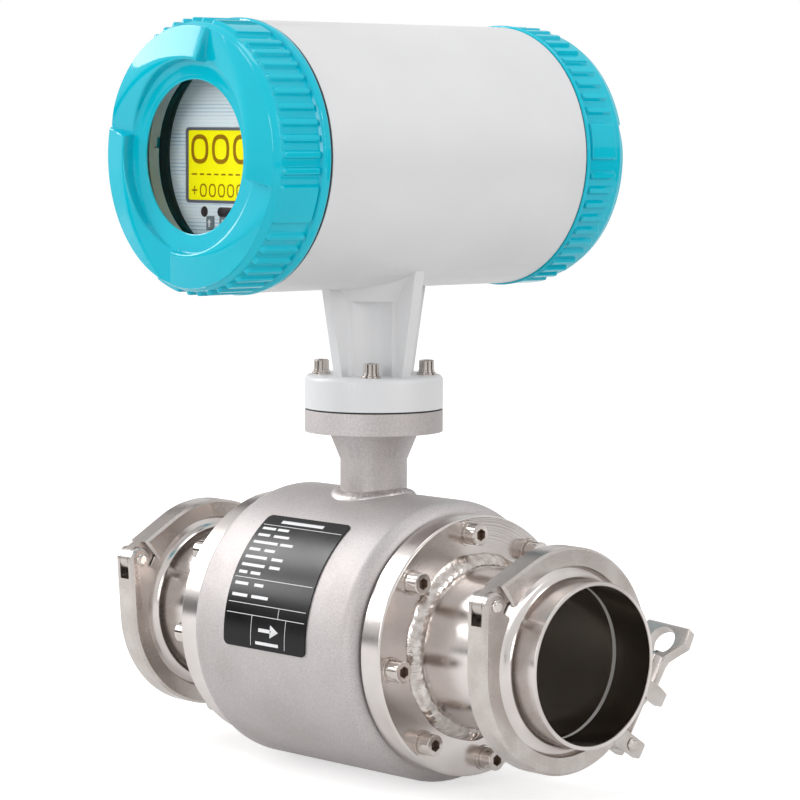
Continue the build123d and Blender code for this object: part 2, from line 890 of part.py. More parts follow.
def glass_retainer():
    _, _, _, glass_back, retainer_back = window_stack()
    ring = turned_cover(-1, [
        (retainer_bore_radius, retainer_back),
        (glass_radius, retainer_back),
        (glass_radius, glass_back),
        (retainer_bore_radius, glass_back),
    ])
    middle = cover_y(-1, (glass_back + retainer_back) / 2)
    for k in range(retainer_notches):
        notch = Box(2 * retainer_notch, retainer_thickness + 2, retainer_notch_width)
        spin = Pos(0, middle, converter_height) * Rot(0, -k * 360 / retainer_notches, 0)
        ring -= spin * Pos(retainer_bore_radius, 0, 0) * notch
    return ring


# Display module, from its front inwards

def key_centres():
    for k in range(4):
        yield (k - 1.5) * key_pitch, converter_height - key_drop


def display_bezel():
    inner = bezel_radius - bezel_wall
    shell = ring_y(bezel_radius, inner, -bezel_front, -main_board_front)
    return shell + ring_y(bezel_radius, bezel_bore_radius, -bezel_front, -bezel_front + bezel_lip)


def plate_front():
    return -bezel_front + bezel_lip


def display_face():
    front = plate_front()
    back = front + face_plate
    plate = rod_y(face_plate_radius, front, back)
    window = Box(lcd_width + lcd_clearance, 4 * face_plate, lcd_height + lcd_clearance)
    plate -= Pos(0, front, converter_height + lcd_centre) * window
    for x, z in key_centres():
        hole = Box(key_width + 2 * key_clearance, 4 * face_plate, key_height + 2 * key_clearance)
        plate -= Pos(x, front, z) * hole
    return plate


def lcd_module():
    front = plate_front() + 0.3
    back = plate_front() + face_plate + lcd_depth
    middle = (front + back) / 2
    screen = Pos(0, middle, converter_height + lcd_centre) * Box(lcd_width, back - front, lcd_height)
    return screen + rod_y(carrier_radius, back, back + carrier_thickness)


def display_key(x, z):
    plate_back = plate_front() + face_plate
    flange_front_y = plate_back + pin_clearance
    top = plate_front() - key_proud
    cap = Pos(x, (top + flange_front_y) / 2, z) * Box(key_width, flange_front_y - top, key_height)
    cap = chamfer(cap.faces().sort_by(Axis.Y)[0].edges(), 0.4)
    flange = Box(key_width + 2 * key_flange_side, key_flange, key_height + 2 * key_flange_side)
    stem_end = plate_back + lcd_depth - key_travel - pin_clearance
    stem = rod_y(standoff_radius / 2, flange_front_y, stem_end, x, z)
    return cap + Pos(x, flange_front_y + key_flange / 2, z) * flange + stem


def main_board():
    board = rod_y(board_radius, -main_board_front, -main_board_front + board_thickness)
    front = plate_front() + face_plate + lcd_depth + carrier_thickness
    for k in range(4):
        x, z = polar(standoff_circle, 45 + 90 * k)
        board += rod_y(standoff_radius, front, -main_board_front, x, converter_height + z)
    sockets = (
        (display_socket_size, (0, display_socket_rise)),
        (ribbon_socket_size, ribbon_socket_place),
    )
    for size, (x, z) in sockets:
        board += Pos(x, -main_board_front - size[1] / 2, converter_height + z) * Box(*size)
    return board


def power_board():
    back = -power_board_front + board_thickness
    board = rod_y(board_radius, -power_board_front, back)
    for k in range(4):
        x, z = polar(standoff_circle, 45 + 90 * k)
        board += rod_y(standoff_radius, -main_board_front + board_thickness, -power_board_front,
                       x, converter_height + z)
    board += Pos(0, -power_board_front - transformer_size[1] / 2,
                 converter_height + transformer_rise) * Box(*transformer_size)
    x, z = capacitor_place
    for side in (-1, 1):
        board += rod_y(capacitor_radius, -power_board_front - capacitor_height, -power_board_front,
                       side * x, converter_height + z)
    return board


def terminal_block():
    width, depth, height = terminal_block_size
    start = partition_front + partition
    block = Pos(0, start + depth / 2, converter_height) * Box(width, depth, height)
    step = Pos(0, start + depth, converter_height + height / 2) * Box(width - 4, depth, height / 2)
    block -= step
    for k in range(terminal_count):
        x = (k - (terminal_count - 1) / 2) * terminal_pitch
        block -= rod_y(terminal_screw_radius, start + depth / 4, start + depth, x,
                       converter_height + height / 3)
        block -= rod_y(terminal_screw_radius, start + depth / 2, start + depth + 1, x,
                       converter_height - height / 4)
    return block


# Cable glands, drawn along +Z from the face of the boss

def gland_parts():
    top = gland_hex_height + gland_collar
    body = rod_z(entry_thread_radius - thread_clearance, -gland_thread_length, 0)
    body += hexagon_prism(gland_hex_flats, 0, gland_hex_height)
    body += rod_z(gland_collar_radius, gland_hex_height, top)
    body -= rod_z(gland_bore_radius, -gland_thread_length - 1, top + 1)
    nut_bottom = gland_hex_height + 0.2
    nut_top = nut_bottom + gland_nut_height
    nut = hexagon_prism(gland_nut_flats, nut_bottom, nut_bottom + gland_nut_height * 0.6)
    nut += Pos(0, 0, nut_bottom + gland_nut_height * 0.8) * Cone(
        gland_nut_flats / 2, gland_nut_flats / 2 - 4, gland_nut_height * 0.4)
    nut -= rod_z(gland_collar_radius + thread_clearance, nut_bottom - 1, top + 0.2)
    nut -= rod_z(gland_nut_bore_radius, 0, nut_top + 1)
    return body, nut


def save(name, shape):
    export_step(shape, "parts/" + name + ".step")


# Sensor body and internals
save("measuring_tube", measuring_tube())
save("liner", liner())
save("sensor_housing", sensor_housing())
coil, shoe = coil_parts()
save("coil_upper", coil)
save("coil_lower", Rot(180, 0, 0) * coil)
save("pole_shoes", group([shoe, Rot(180, 0, 0) * shoe]))
save("yoke_band", yoke_band())
electrode, bush, electrode_nut_solid = electrode_parts()
sides = [Rot(90, 0, 0), Rot(-90, 0, 0)]
save("electrodes", group([turn * piece for turn in sides for piece in (electrode, electrode_nut_solid)]))
save("electrode_bushes", group([turn * bush for turn in sides]))
save("data_plate", rating_plate())

# Pipe ends and clamps
washers = {"flat": [], "spring": []}
screws = []
screw_hole = flange_screw["shank"] + screw_clearance / 2
flat = washer(flange_flat_washer["outer"], screw_hole, flange_flat_washer["thickness"])
spring = washer(flange_spring_washer["outer"], screw_hole, flange_spring_washer["thickness"])
screw = cap_screw(**flange_screw)
spring_x = flange_front + flange_flat_washer["thickness"]
head_x = spring_x + flange_spring_washer["thickness"]
for end, side, turn in (("inlet", -1, clamp_turn_inlet), ("outlet", 1, clamp_turn_outlet)):
    save(end + "_flange", end_flange(side))
    save(end + "_spool", spool(side))
    save(end + "_weld", pipe_weld(side))
    save(end + "_gasket", pipe_gasket(side))
    save(end + "_weld_ferrule", weld_ferrule(side))
    save(end + "_clamp_upper", place_clamp(side, turn, clamp_upper()))
    save(end + "_clamp_lower", place_clamp(side, turn, clamp_lower()))
    save(end + "_hinge_pin", place_clamp(side, turn, rivet(clamp_half_width, -hinge_radius, 0)))
    save(end + "_pivot_pin",
         place_clamp(side, turn, rivet(ear_half_width, bolt_offset, -pivot_drop)))
    save(end + "_swing_bolt", place_clamp(side, turn, swing_bolt()))
    save(end + "_wing_nut", place_clamp(side, turn, wing_nut()))
    washers["flat"] += [place * flat for place in bolt_places(side, flange_front)]
    washers["spring"] += [place * spring for place in bolt_places(side, spring_x)]
    screws += [place * screw for place in bolt_places(side, head_x)]
save("flange_screws", group(screws))
save("flange_flat_washers", group(washers["flat"]))
save("flange_spring_washers", group(washers["spring"]))

# Neck
save("sensor_neck", sensor_neck())
save("neck_weld", neck_weld())
save("neck_gasket", neck_seal())
neck_hole = neck_screw["shank"] + screw_clearance / 2
flat = washer(neck_flat_washer["outer"], neck_hole, neck_flat_washer["thickness"])
spring = washer(neck_spring_washer["outer"], neck_hole, neck_spring_washer["thickness"])
spring_z = foot_top + neck_flat_washer["thickness"]
head_z = spring_z + neck_spring_washer["thickness"]
save("neck_washers", group(
    [place * flat for place in neck_places(foot_top)]
    + [place * spring for place in neck_places(spring_z)]))
save("neck_screws", group([place * cap_screw(**neck_screw) for place in neck_places(head_z)]))

# Converter
save("converter_housing", converter_housing())
save("front_cover", front_cover())
save("rear_cover", rear_cover())
save("front_gasket", cover_gasket(-1, front_gasket))
save("rear_gasket", cover_gasket(1, rear_gasket))
lip_front, lip_back, seal_back, glass_back, retainer_back = window_stack()
save("glass_seal", turned_cover(-1, [
    (window_radius + 1.5, lip_back), (glass_radius, lip_back),
    (glass_radius, seal_back), (window_radius + 1.5, seal_back)]))
save("front_glass", rod_y(glass_radius, cover_y(-1, seal_back), cover_y(-1, glass_back)))
save("glass_retainer", glass_retainer())
save("display_bezel", display_bezel())
save("face_plate", display_face())
save("lcd_module", lcd_module())
for number, centre in enumerate(key_centres(), 1):
    save("key_%d" % number, display_key(*centre))
save("main_board", main_board())
save("power_board", power_board())
save("terminal_block", terminal_block())
gland, gland_nut = gland_parts()
gland_spots = [Pos(-entry_boss_reach, y, z) * Rot(0, -90, 0) for y, z in entry_places()]
save("cable_glands", group([spot * gland for spot in gland_spots]))
save("gland_nuts", group([spot * gland_nut for spot in gland_spots]))
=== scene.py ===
import json
from math import cos, pi, radians, sin

import bmesh
import bpy
import numpy as np
from mathutils import Matrix, Vector

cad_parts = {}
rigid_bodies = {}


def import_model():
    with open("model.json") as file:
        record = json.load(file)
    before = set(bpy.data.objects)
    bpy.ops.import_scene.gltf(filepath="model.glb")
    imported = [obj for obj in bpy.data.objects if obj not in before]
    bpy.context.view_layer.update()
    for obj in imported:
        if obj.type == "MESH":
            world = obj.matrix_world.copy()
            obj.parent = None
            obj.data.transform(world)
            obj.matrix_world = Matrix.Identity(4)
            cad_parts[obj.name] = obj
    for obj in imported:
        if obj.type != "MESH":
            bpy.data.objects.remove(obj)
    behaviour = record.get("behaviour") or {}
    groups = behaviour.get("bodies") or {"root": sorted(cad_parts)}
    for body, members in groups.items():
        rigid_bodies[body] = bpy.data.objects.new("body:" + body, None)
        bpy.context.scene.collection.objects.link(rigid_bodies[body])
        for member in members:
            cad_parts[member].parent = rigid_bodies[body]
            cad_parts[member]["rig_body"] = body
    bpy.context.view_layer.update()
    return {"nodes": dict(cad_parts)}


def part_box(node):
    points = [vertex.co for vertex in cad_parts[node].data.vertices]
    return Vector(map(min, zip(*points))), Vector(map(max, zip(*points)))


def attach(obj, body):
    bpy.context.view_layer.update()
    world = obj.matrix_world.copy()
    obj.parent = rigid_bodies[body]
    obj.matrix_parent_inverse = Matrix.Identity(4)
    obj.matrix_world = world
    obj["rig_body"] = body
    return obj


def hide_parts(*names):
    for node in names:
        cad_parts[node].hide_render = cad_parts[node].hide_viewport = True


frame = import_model()
scene = bpy.context.scene
MM = 0.001

# Sizes in millimetres, as in the solids
CONVERTER_Z = 226.45
COVER_END = {-1: 80.6, 1: 79.6}
SPIGOT_R = 52.4
LOBE_INNER_R = 44.0
LOBE_OUTER_R = 59.5
LOBE_WIDTH = LOBE_OUTER_R - LOBE_INNER_R
FACE_DISH = 1.1
FACE_Y = -85.5
SCREEN_Y = FACE_Y + 0.21
KEY_Y = FACE_Y - 0.9
BODY_R = 66.5
PLATE_R = BODY_R + 0.6
PLATE_X = -2.0
PLATE_ANGLE = 26.0
NECK_R = 16.0
NECK_BOLTS_R = 25.1
FLANGE_BOLTS_R = 53.5
FLANGE_FACE_X = 71.9
PIPE_BORE_R = 36.05
PIPE_R = 38.05
FERRULE_R = 45.5
CLAMP_X = 126.0
FLOOR_Z = -66.8
ENDS = (("inlet", -1), ("outlet", 1))


# Shapes. Each one gives points in millimetres and the faces that join them.

def grid(points, closed_u=False, closed_v=False):
    """Quads over an array of points[u, v]; a closed direction joins its last row to its first."""
    nu, nv = points.shape[:2]
    index = np.arange(nu * nv).reshape(nu, nv)
    index = np.vstack([index, index[:1]]) if closed_u else index
    index = np.hstack([index, index[:, :1]]) if closed_v else index
    corners = [index[:-1, :-1], index[1:, :-1], index[1:, 1:], index[:-1, 1:]]
    return points.reshape(-1, 3), np.stack([c.ravel() for c in corners], 1).tolist()


def soft_profile(corners, radius, steps=4):
    """Closed outline whose corner C becomes (1-t)^2 A + 2t(1-t) C + t^2 B, with A and B on the
    two edges at the radius from C, and one more point a little further out on each edge."""
    c = np.array(corners, float)
    r = np.broadcast_to(np.array(radius, float), len(c))[:, None]
    to_last = np.roll(c, 1, 0) - c
    to_next = np.roll(c, -1, 0) - c
    near, far = (np.linalg.norm(d, axis=1)[:, None] for d in (to_last, to_next))
    r = np.minimum(r, np.minimum(near, far) * 0.4)
    a = c + to_last / near * r
    b = c + to_next / far * r
    t = np.linspace(0, 1, steps + 1)[None, :, None]
    arc = (1 - t) ** 2 * a[:, None] + 2 * t * (1 - t) * c[:, None] + t ** 2 * b[:, None]
    first = (c + to_last / near * r * 1.2)[:, None]
    last = (c + to_next / far * r * 1.2)[:, None]
    return np.concatenate([first, arc, last], 1).reshape(-1, 2)


def turned(profile, axis, centre=(0, 0, 0), sides=192, closed=True):
    """Surface of revolution: point = centre + along * axis + r (cos a, sin a) across the axis."""
    a = np.linspace(0, 2 * pi, sides, endpoint=False)[:, None]
    along, r = profile[None, :, 0], profile[None, :, 1]
    p = np.empty((sides, len(profile), 3))
    others = [k for k in range(3) if k != axis]
    p[..., axis] = along
    p[..., others[0]] = r * np.cos(a)
    p[..., others[1]] = r * np.sin(a)
    return grid(p + np.array(centre), True, closed)


def smooth_step(t):
    """0 below 0, 1 above 1, and t^2 (3 - 2t) between."""
    t = np.clip(t, 0, 1)
    return t * t * (3 - 2 * t)


def ribbon(path, widths, lift, place, closed=False):
    """A raised stroke of the given width along a path in (u, v); place puts (u, v, height)."""
    p = np.array(path, float)
    w = np.broadcast_to(np.array(widths, float), len(p))[:, None] / 2
    if closed:
        d = np.roll(p, -1, 0) - np.roll(p, 1, 0)
    else:
        d = np.gradient(p, axis=0)
    d /= np.linalg.norm(d, axis=1)[:, None]
    side = np.stack([-d[:, 1], d[:, 0]], 1) * w
    rows = [(p + side, 0.0), (p + side * 0.94, lift), (p - side * 0.94, lift), (p - side, 0.0)]
    q = np.stack([place(uv[:, 0], uv[:, 1], h) for uv, h in rows], 1)
    points, faces = grid(q, closed, True)
    if not closed:
        last = len(points) - 4
        faces += [[3, 2, 1, 0], [last, last + 1, last + 2, last + 3]]
    return points, faces


def joined(shapes):
    """All shapes as one list of points and one of faces."""
    points, faces, start = [], [], 0
    for p, f in shapes:
        points.append(p)
        faces += [[k + start for k in face] for face in f]
        start += len(p)
    return np.concatenate(points), faces


def piece(name, body, shapes, material, replaces=(), sharp=40, close=False):
    """One Blender object from shapes, smooth up to the sharp angle, riding on its body."""
    points, faces = joined(shapes)
    mesh = bpy.data.meshes.new(name)
    mesh.from_pydata((points * MM).tolist(), [], faces)
    b = bmesh.new()
    b.from_mesh(mesh)
    if close:
        bmesh.ops.remove_doubles(b, verts=b.verts, dist=1e-6)
    bmesh.ops.recalc_face_normals(b, faces=b.faces)
    b.to_mesh(mesh)
    b.free()
    return settle(name, mesh, body, material, replaces, sharp)


def settle(name, mesh, body, material, replaces, sharp):
    mesh.polygons.foreach_set("use_smooth", np.ones(len(mesh.polygons), bool))
    mesh.set_sharp_from_angle(angle=radians(sharp))
    mesh.materials.clear()
    mesh.materials.append(material)
    o = bpy.data.objects.new(name, mesh)
    scene.collection.objects.link(o)
    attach(o, body)
    if replaces:
        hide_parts(*replaces)
    return o


def softened(node, width, material, segments=2):
    """A merged copy of a CAD node with its sharp edges rounded to a width in millimetres."""
    source = frame["nodes"][node]
    mesh = bpy.data.meshes.new(node + "_soft")
    b = bmesh.new()
    b.from_mesh(source.data)
    bmesh.ops.remove_doubles(b, verts=b.verts, dist=2e-6)
    bmesh.ops.dissolve_limit(b, angle_limit=radians(0.4), verts=b.verts, edges=b.edges)
    b.to_mesh(mesh)
    b.free()
    o = settle(node + "_soft", mesh, source["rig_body"], material, [node], 30)
    bevel = o.modifiers.new("rounded edges", "BEVEL")
    bevel.width = width * MM
    bevel.segments = segments
    bevel.limit_method = "ANGLE"
    bevel.angle_limit = radians(32)
    bevel.harden_normals = True
    return o


# Finishes. Colours are written as the sRGB numbers they should show.

def colour(r, g, b):
    c = np.array([r, g, b]) / 255
    c = np.where(c <= 0.04045, c / 12.92, ((c + 0.055) / 1.055) ** 2.4)
    return (*c.tolist(), 1.0)


def effect(name, inputs, outputs, build):
    """A node group; build fills it and returns the sockets that feed its outputs."""
    tree = bpy.data.node_groups.new(name, "ShaderNodeTree")
    for label, kind, value in inputs:
        s = tree.interface.new_socket(label, in_out="INPUT", socket_type="NodeSocket" + kind)
        if value is not None:
            s.default_value = value
    for label, kind in outputs:
        tree.interface.new_socket(label, in_out="OUTPUT", socket_type="NodeSocket" + kind)
    start, end = tree.nodes.new("NodeGroupInput"), tree.nodes.new("NodeGroupOutput")
    for (label, _), socket in zip(outputs, build(tree, start.outputs)):
        tree.links.new(socket, end.inputs[label])
    return tree


def node(tree, kind, **values):
    """A node with its settings, and its inputs set or linked by name or number."""
    n = tree.nodes.new("ShaderNode" + kind)
    for key, v in values.items():
        if not key.startswith("in_"):
            setattr(n, key, v)
    for key, v in values.items():
        if key.startswith("in_"):
            where = key[3:].replace("_", " ")
            socket = n.inputs[int(where)] if where.isdigit() else n.inputs[where]
            if isinstance(v, bpy.types.NodeSocket):
                tree.links.new(v, socket)
            else:
                socket.default_value = v
    return n


def maths(tree, operation, a, b=0.0):
    return node(tree, "Math", operation=operation, in_0=a, in_1=b).outputs[0]


def build_tone(tree, g):
    """Colour drifts slowly between two tones with a fine speckle of its own brightness, and
    roughness drifts between two values."""
    at = node(tree, "TexCoord").outputs["Object"]
    slow = node(tree, "TexNoise", in_Vector=at, in_Scale=g["Scale"], in_Detail=3.0)
    fac = node(tree, "MapRange", in_Value=slow.outputs[0], in_1=0.35, in_2=0.65)
    mix = node(tree, "Mix", data_type="RGBA", in_0=fac.outputs[0], in_6=g["Colour"],
               in_7=g["Second"])
    rough = node(tree, "MapRange", in_Value=slow.outputs[0], in_1=0.3, in_2=0.7,
                 in_3=g["Smooth"], in_4=g["Rough"])
    fine = node(tree, "TexNoise", in_Vector=at, in_Scale=1300.0, in_Detail=2.0)
    swing = maths(tree, "MULTIPLY", maths(tree, "SUBTRACT", fine.outputs[0], 0.5), g["Speckle"])
    bright = maths(tree, "ADD", swing, 1.0)
    hue = node(tree, "VectorMath", operation="SCALE", in_0=mix.outputs[2], in_Scale=bright)
    return hue.outputs[0], rough.outputs[0]


def build_grain(tree, g):
    """Fine even grain, with a coarser one under it."""
    at = node(tree, "TexCoord").outputs["Object"]
    fine = node(tree, "TexNoise", in_Vector=at, in_Scale=g["Scale"], in_Detail=2.0)
    broad = maths(tree, "MULTIPLY", g["Scale"], 0.16)
    wide = node(tree, "TexNoise", in_Vector=at, in_Scale=broad, in_Detail=2.0)
    half = maths(tree, "MULTIPLY", wide.outputs[0], 0.5)
    return [maths(tree, "ADD", fine.outputs[0], half)]


def build_turning(tree, g):
    """Rings left by a lathe: noise read along the sum of x and the distance from the pipe axis."""
    at = node(tree, "TexCoord").outputs["Object"]
    xyz = node(tree, "SeparateXYZ", in_Vector=at)
    yy = maths(tree, "MULTIPLY", xyz.outputs[1], xyz.outputs[1])
    zz = maths(tree, "MULTIPLY", xyz.outputs[2], xyz.outputs[2])
    r = maths(tree, "SQRT", maths(tree, "ADD", yy, zz))
    line = maths(tree, "ADD", r, xyz.outputs[0])
    rings = node(tree, "TexNoise", noise_dimensions="1D", in_W=line, in_Scale=g["Scale"],
                 in_Detail=4.0)
    drift = node(tree, "TexNoise", in_Vector=at, in_Scale=14.0, in_Detail=2.0)
    part = maths(tree, "MULTIPLY", rings.outputs[0], drift.outputs[0])
    return rings.outputs[0], part


TONE = effect("Slow tone", [("Colour", "Color", None), ("Second", "Color", None),
                            ("Scale", "Float", 30.0), ("Smooth", "Float", 0.3),
                            ("Rough", "Float", 0.4), ("Speckle", "Float", 0.0)],
              [("Colour", "Color"), ("Roughness", "Float")], build_tone)
GRAIN = effect("Grain", [("Scale", "Float", 900.0)], [("Height", "Float")], build_grain)
TURNING = effect("Turning rings", [("Scale", "Float", 900.0)],
                 [("Height", "Float"), ("Streak", "Float")], build_turning)


def finish(name, tone, second, rough, metallic=0.0, drift=30.0, grain=None, turning=None,
           coat=0.0, streak=0.12, speckle=0.0, **fixed):
    """A Principled material: slow tone with a speckle, and grain or lathe rings as bump."""
    m = bpy.data.materials.new(name)
    m.use_nodes = True
    tree = m.node_tree
    shader = tree.nodes["Principled BSDF"]
    shader.inputs["Metallic"].default_value = metallic
    shader.inputs["Coat Weight"].default_value = coat
    shader.inputs["Coat Roughness"].default_value = 0.06
    for key, v in fixed.items():
        shader.inputs[key.replace("_", " ")].default_value = v
    base = node(tree, "Group", node_tree=TONE, in_Colour=colour(*tone), in_Second=colour(*second),
                in_Scale=drift, in_Smooth=rough[0], in_Rough=rough[1], in_Speckle=speckle)
    hue, dull = base.outputs[0], base.outputs[1]
    bump = None
    if grain:
        bump = node(tree, "Group", node_tree=GRAIN, in_Scale=grain[0]).outputs[0]
        depth = grain[1]
    if turning:
        rings = node(tree, "Group", node_tree=TURNING, in_Scale=turning[0])
        bump, depth = rings.outputs[0], turning[1]
        dull = maths(tree, "ADD", dull, maths(tree, "MULTIPLY", rings.outputs[1], streak))
    tree.links.new(hue, shader.inputs["Base Color"])
    tree.links.new(dull, shader.inputs["Roughness"])
    if bump:
        b = node(tree, "Bump", in_Height=bump, in_Distance=depth * MM, in_Strength=1.0)
        tree.links.new(b.outputs[0], shader.inputs["Normal"])
    return m


def tube_finish_painted_bore_shade(name, *tones, **rest):
    """Turned steel outside, with shade painted as a darker tone where the distance from the axis is
    that of the bore.
    """
    shade_r = 36.4
    m = finish(name, *tones, **rest)
    tree = m.node_tree
    base = tree.nodes["Principled BSDF"].inputs["Base Color"]
    at = node(tree, "SeparateXYZ", in_Vector=node(tree, "TexCoord").outputs["Object"])
    yy = maths(tree, "MULTIPLY", at.outputs[1], at.outputs[1])
    zz = maths(tree, "MULTIPLY", at.outputs[2], at.outputs[2])
    inside = maths(tree, "LESS_THAN", maths(tree, "ADD", yy, zz), (shade_r * MM) ** 2)
    # painted shade: the darker tone inside the bore
    hue = node(tree, "Mix", data_type="RGBA", in_0=inside, in_6=base.links[0].from_socket,
               in_7=colour(166, 156, 149))
    tree.links.new(hue.outputs[2], base)
    return m


blasted = finish("bead blasted steel", (194, 189, 188), (185, 179, 178), (0.52, 0.6), 0.85,
                 drift=24, grain=(1900, 0.06), speckle=0.5)
turned_steel = finish("turned steel", (222, 216, 213), (208, 201, 197), (0.12, 0.18), 1.0,
                      turning=(1300, 0.010), streak=0.2)
bore_steel = tube_finish_painted_bore_shade("drawn tube steel, painted bore shade", (224, 218, 215), (208, 201, 197), (0.12, 0.18), 1.0,
                         turning=(1500, 0.008), streak=0.2)
cast = finish("satin cast steel", (206, 200, 196), (190, 182, 177), (0.22, 0.3), 1.0,
              drift=60, grain=(900, 0.02), speckle=0.25)
bright = finish("polished screws", (214, 207, 202), (192, 184, 178), (0.05, 0.1), 1.0, drift=120)
weld_steel = finish("bright weld", (216, 210, 206), (180, 171, 165), (0.14, 0.28), 1.0, drift=260)
matt_weld = finish("blasted weld", (204, 198, 196), (184, 177, 175), (0.4, 0.5), 0.9, drift=240,
                   grain=(2400, 0.04), speckle=0.5)
grey_paint = finish("light grey paint", (220, 220, 221), (216, 216, 217), (0.36, 0.42), drift=18,
                    grain=(420, 0.012), coat=0.1)
cyan_paint = finish("cyan enamel", (0, 190, 211), (0, 183, 205), (0.05, 0.09), drift=20,
                    grain=(300, 0.010), Specular_IOR_Level=0.35)
black_rubber = finish("black rubber", (26, 26, 27), (34, 34, 35), (0.6, 0.7), grain=(1200, 0.02))
white_rubber = finish("white seal", (222, 221, 216), (212, 211, 206), (0.5, 0.6),
                      grain=(1200, 0.01))
lining = finish("waxy lining", (226, 225, 220), (216, 215, 210), (0.35, 0.45), grain=(300, 0.01),
                Subsurface_Weight=0.05)
black_plastic = finish("black plastic", (22, 22, 23), (28, 28, 29), (0.4, 0.5),
                       grain=(1400, 0.015), Specular_IOR_Level=0.3)
bezel_black = finish("bezel black", (26, 22, 22), (32, 27, 27), (0.6, 0.7), grain=(1400, 0.015),
                     Specular_IOR_Level=0.12)
key_grey = finish("key grey", (120, 130, 136), (112, 122, 128), (0.45, 0.55), grain=(1400, 0.01))
print_white = finish("white print", (236, 236, 238), (228, 228, 230), (0.45, 0.55))
print_brown = finish("screen figures", (168, 120, 0), (158, 110, 0), (0.4, 0.5),
                     Specular_IOR_Level=0.1)
print_dark = finish("dark print", (48, 36, 42), (54, 42, 48), (0.3, 0.4))
label_black = finish("label film", (6, 6, 7), (10, 10, 11), (0.22, 0.28), grain=(500, 0.008),
                     Specular_IOR_Level=0.25)
screen_frame = finish("screen frame", (104, 104, 122), (96, 96, 114), (0.35, 0.45),
                      grain=(900, 0.01))
carrier_grey = finish("screen carrier", (52, 54, 58), (46, 48, 52), (0.4, 0.5), grain=(900, 0.01))
ring_grey = finish("anodised ring", (162, 176, 194), (150, 164, 182), (0.4, 0.5), 0.0, drift=40,
                   grain=(1200, 0.01))
# painted shade: dark brown for the insides of the screw recesses
painted_socket_shade = finish("painted socket shade", (140, 120, 106), (118, 99, 88), (0.3, 0.4), 0.4, drift=300)
board_green = finish("board lacquer", (22, 92, 52), (16, 78, 44), (0.3, 0.45), grain=(160, 0.05))
winding = finish("winding", (150, 84, 42), (128, 68, 32), (0.35, 0.5), 0.6, grain=(900, 0.05))
iron = finish("plain iron", (120, 120, 122), (104, 104, 106), (0.4, 0.5), 0.9, grain=(900, 0.02))


def striped_face():
    """Pale film printed with fine blue lines: a narrow peak of a sine along z, stronger in bands
    and fading in patches."""
    line_pitch, band_pitch = 0.0017, 0.0136
    m = finish("striped face film", (238, 246, 250), (232, 241, 247), (0.35, 0.45),
               Specular_IOR_Level=0.2)
    tree = m.node_tree
    shader = tree.nodes["Principled BSDF"]
    base = shader.inputs["Base Color"].links[0].from_socket
    at = node(tree, "TexCoord").outputs["Object"]
    z = node(tree, "SeparateXYZ", in_Vector=at).outputs[2]
    wave = maths(tree, "SINE", maths(tree, "MULTIPLY", z, 2 * pi / line_pitch))
    line = node(tree, "MapRange", in_Value=wave, in_1=0.35, in_2=0.85)
    swell = maths(tree, "SINE", maths(tree, "MULTIPLY", z, 2 * pi / band_pitch))
    band = node(tree, "MapRange", in_Value=swell, in_1=-0.6, in_2=0.7, in_3=0.25, in_4=1.0)
    patch = node(tree, "TexNoise", in_Vector=at, in_Scale=45.0, in_Detail=1.0).outputs[0]
    mix = maths(tree, "MULTIPLY", maths(tree, "MULTIPLY", line.outputs[0], band.outputs[0]), patch)
    hue = node(tree, "Mix", data_type="RGBA", in_0=mix, in_6=base, in_7=colour(96, 166, 214))
    tree.links.new(hue.outputs[2], shader.inputs["Base Color"])
    return m


def lit_screen():
    """Yellow screen, lit from behind, a little brighter towards its middle."""
    m = finish("lit screen", (214, 206, 0), (208, 200, 0), (0.3, 0.4), Specular_IOR_Level=0.1)
    tree = m.node_tree
    shader = tree.nodes["Principled BSDF"]
    at = node(tree, "TexCoord").outputs["Object"]
    away = node(tree, "VectorMath", operation="DISTANCE", in_0=at,
                in_1=(0.0, FACE_Y * MM, (CONVERTER_Z - 4) * MM)).outputs["Value"]
    near = node(tree, "MapRange", in_Value=away, in_1=0.0, in_2=0.04, in_3=1.0, in_4=0.8)
    glow = node(tree, "Mix", data_type="RGBA", in_0=near.outputs[0], in_6=(0, 0, 0, 1),
                in_7=colour(236, 226, 0))
    tree.links.new(glow.outputs[2], shader.inputs["Emission Color"])
    shader.inputs["Emission Strength"].default_value = 0.6
    return m


def clear_glass():
    """Clear glass that casts no shadow, so the lamps light what is behind it."""
    m = finish("clear glass", (250, 252, 252), (248, 251, 251), (0.0, 0.01))
    tree = m.node_tree
    shader = tree.nodes["Principled BSDF"]
    shader.inputs["Transmission Weight"].default_value = 1.0
    shader.inputs["IOR"].default_value = 1.45
    shadow = node(tree, "LightPath").outputs["Is Shadow Ray"]
    through = node(tree, "BsdfTransparent")
    both = node(tree, "MixShader", in_0=shadow, in_1=shader.outputs[0], in_2=through.outputs[0])
    tree.links.new(both.outputs[0], tree.nodes["Material Output"].inputs["Surface"])
    return m


face_film, screen, glass = striped_face(), lit_screen(), clear_glass()


# Screwed covers

def rounded_box(dx, ds, half_x, half_s, corner):
    """Signed distance from a rounded rectangle, negative inside."""
    qx = np.abs(dx) - half_x + corner
    qs = np.abs(ds) - half_s + corner
    outside = np.hypot(np.maximum(qx, 0), np.maximum(qs, 0))
    return outside + np.minimum(np.maximum(qx, qs), 0) - corner


def grip_height(angle, s, start, end, turn):
    """Height of ribs and panels: 1 inside each rounded outline, 0 outside it, with the fall
    centred on the outline."""
    pitch, ribs, panel, radius = 6.75, 10, 16.0, 63.0
    rib_half, rib_corner, fall = 1.6, 1.55, 1.1
    middle, half = (start + end) / 2, (end - start) / 2
    arc = radians(1) * radius
    local = (angle - turn + 45) % 90 - 45
    blank = rounded_box(local * arc, s - middle, panel / 2 * arc, half, 1)
    past = (angle - turn) % 90
    k = np.clip(np.round((past - panel / 2) / pitch + 0.1), 1, ribs)
    d = (past - panel / 2 - (k - 0.1) * pitch) * arc
    bar = rounded_box(d, s - middle, rib_half, half, rib_corner)
    return smooth_step(0.5 - np.minimum(blank, bar) / fall)


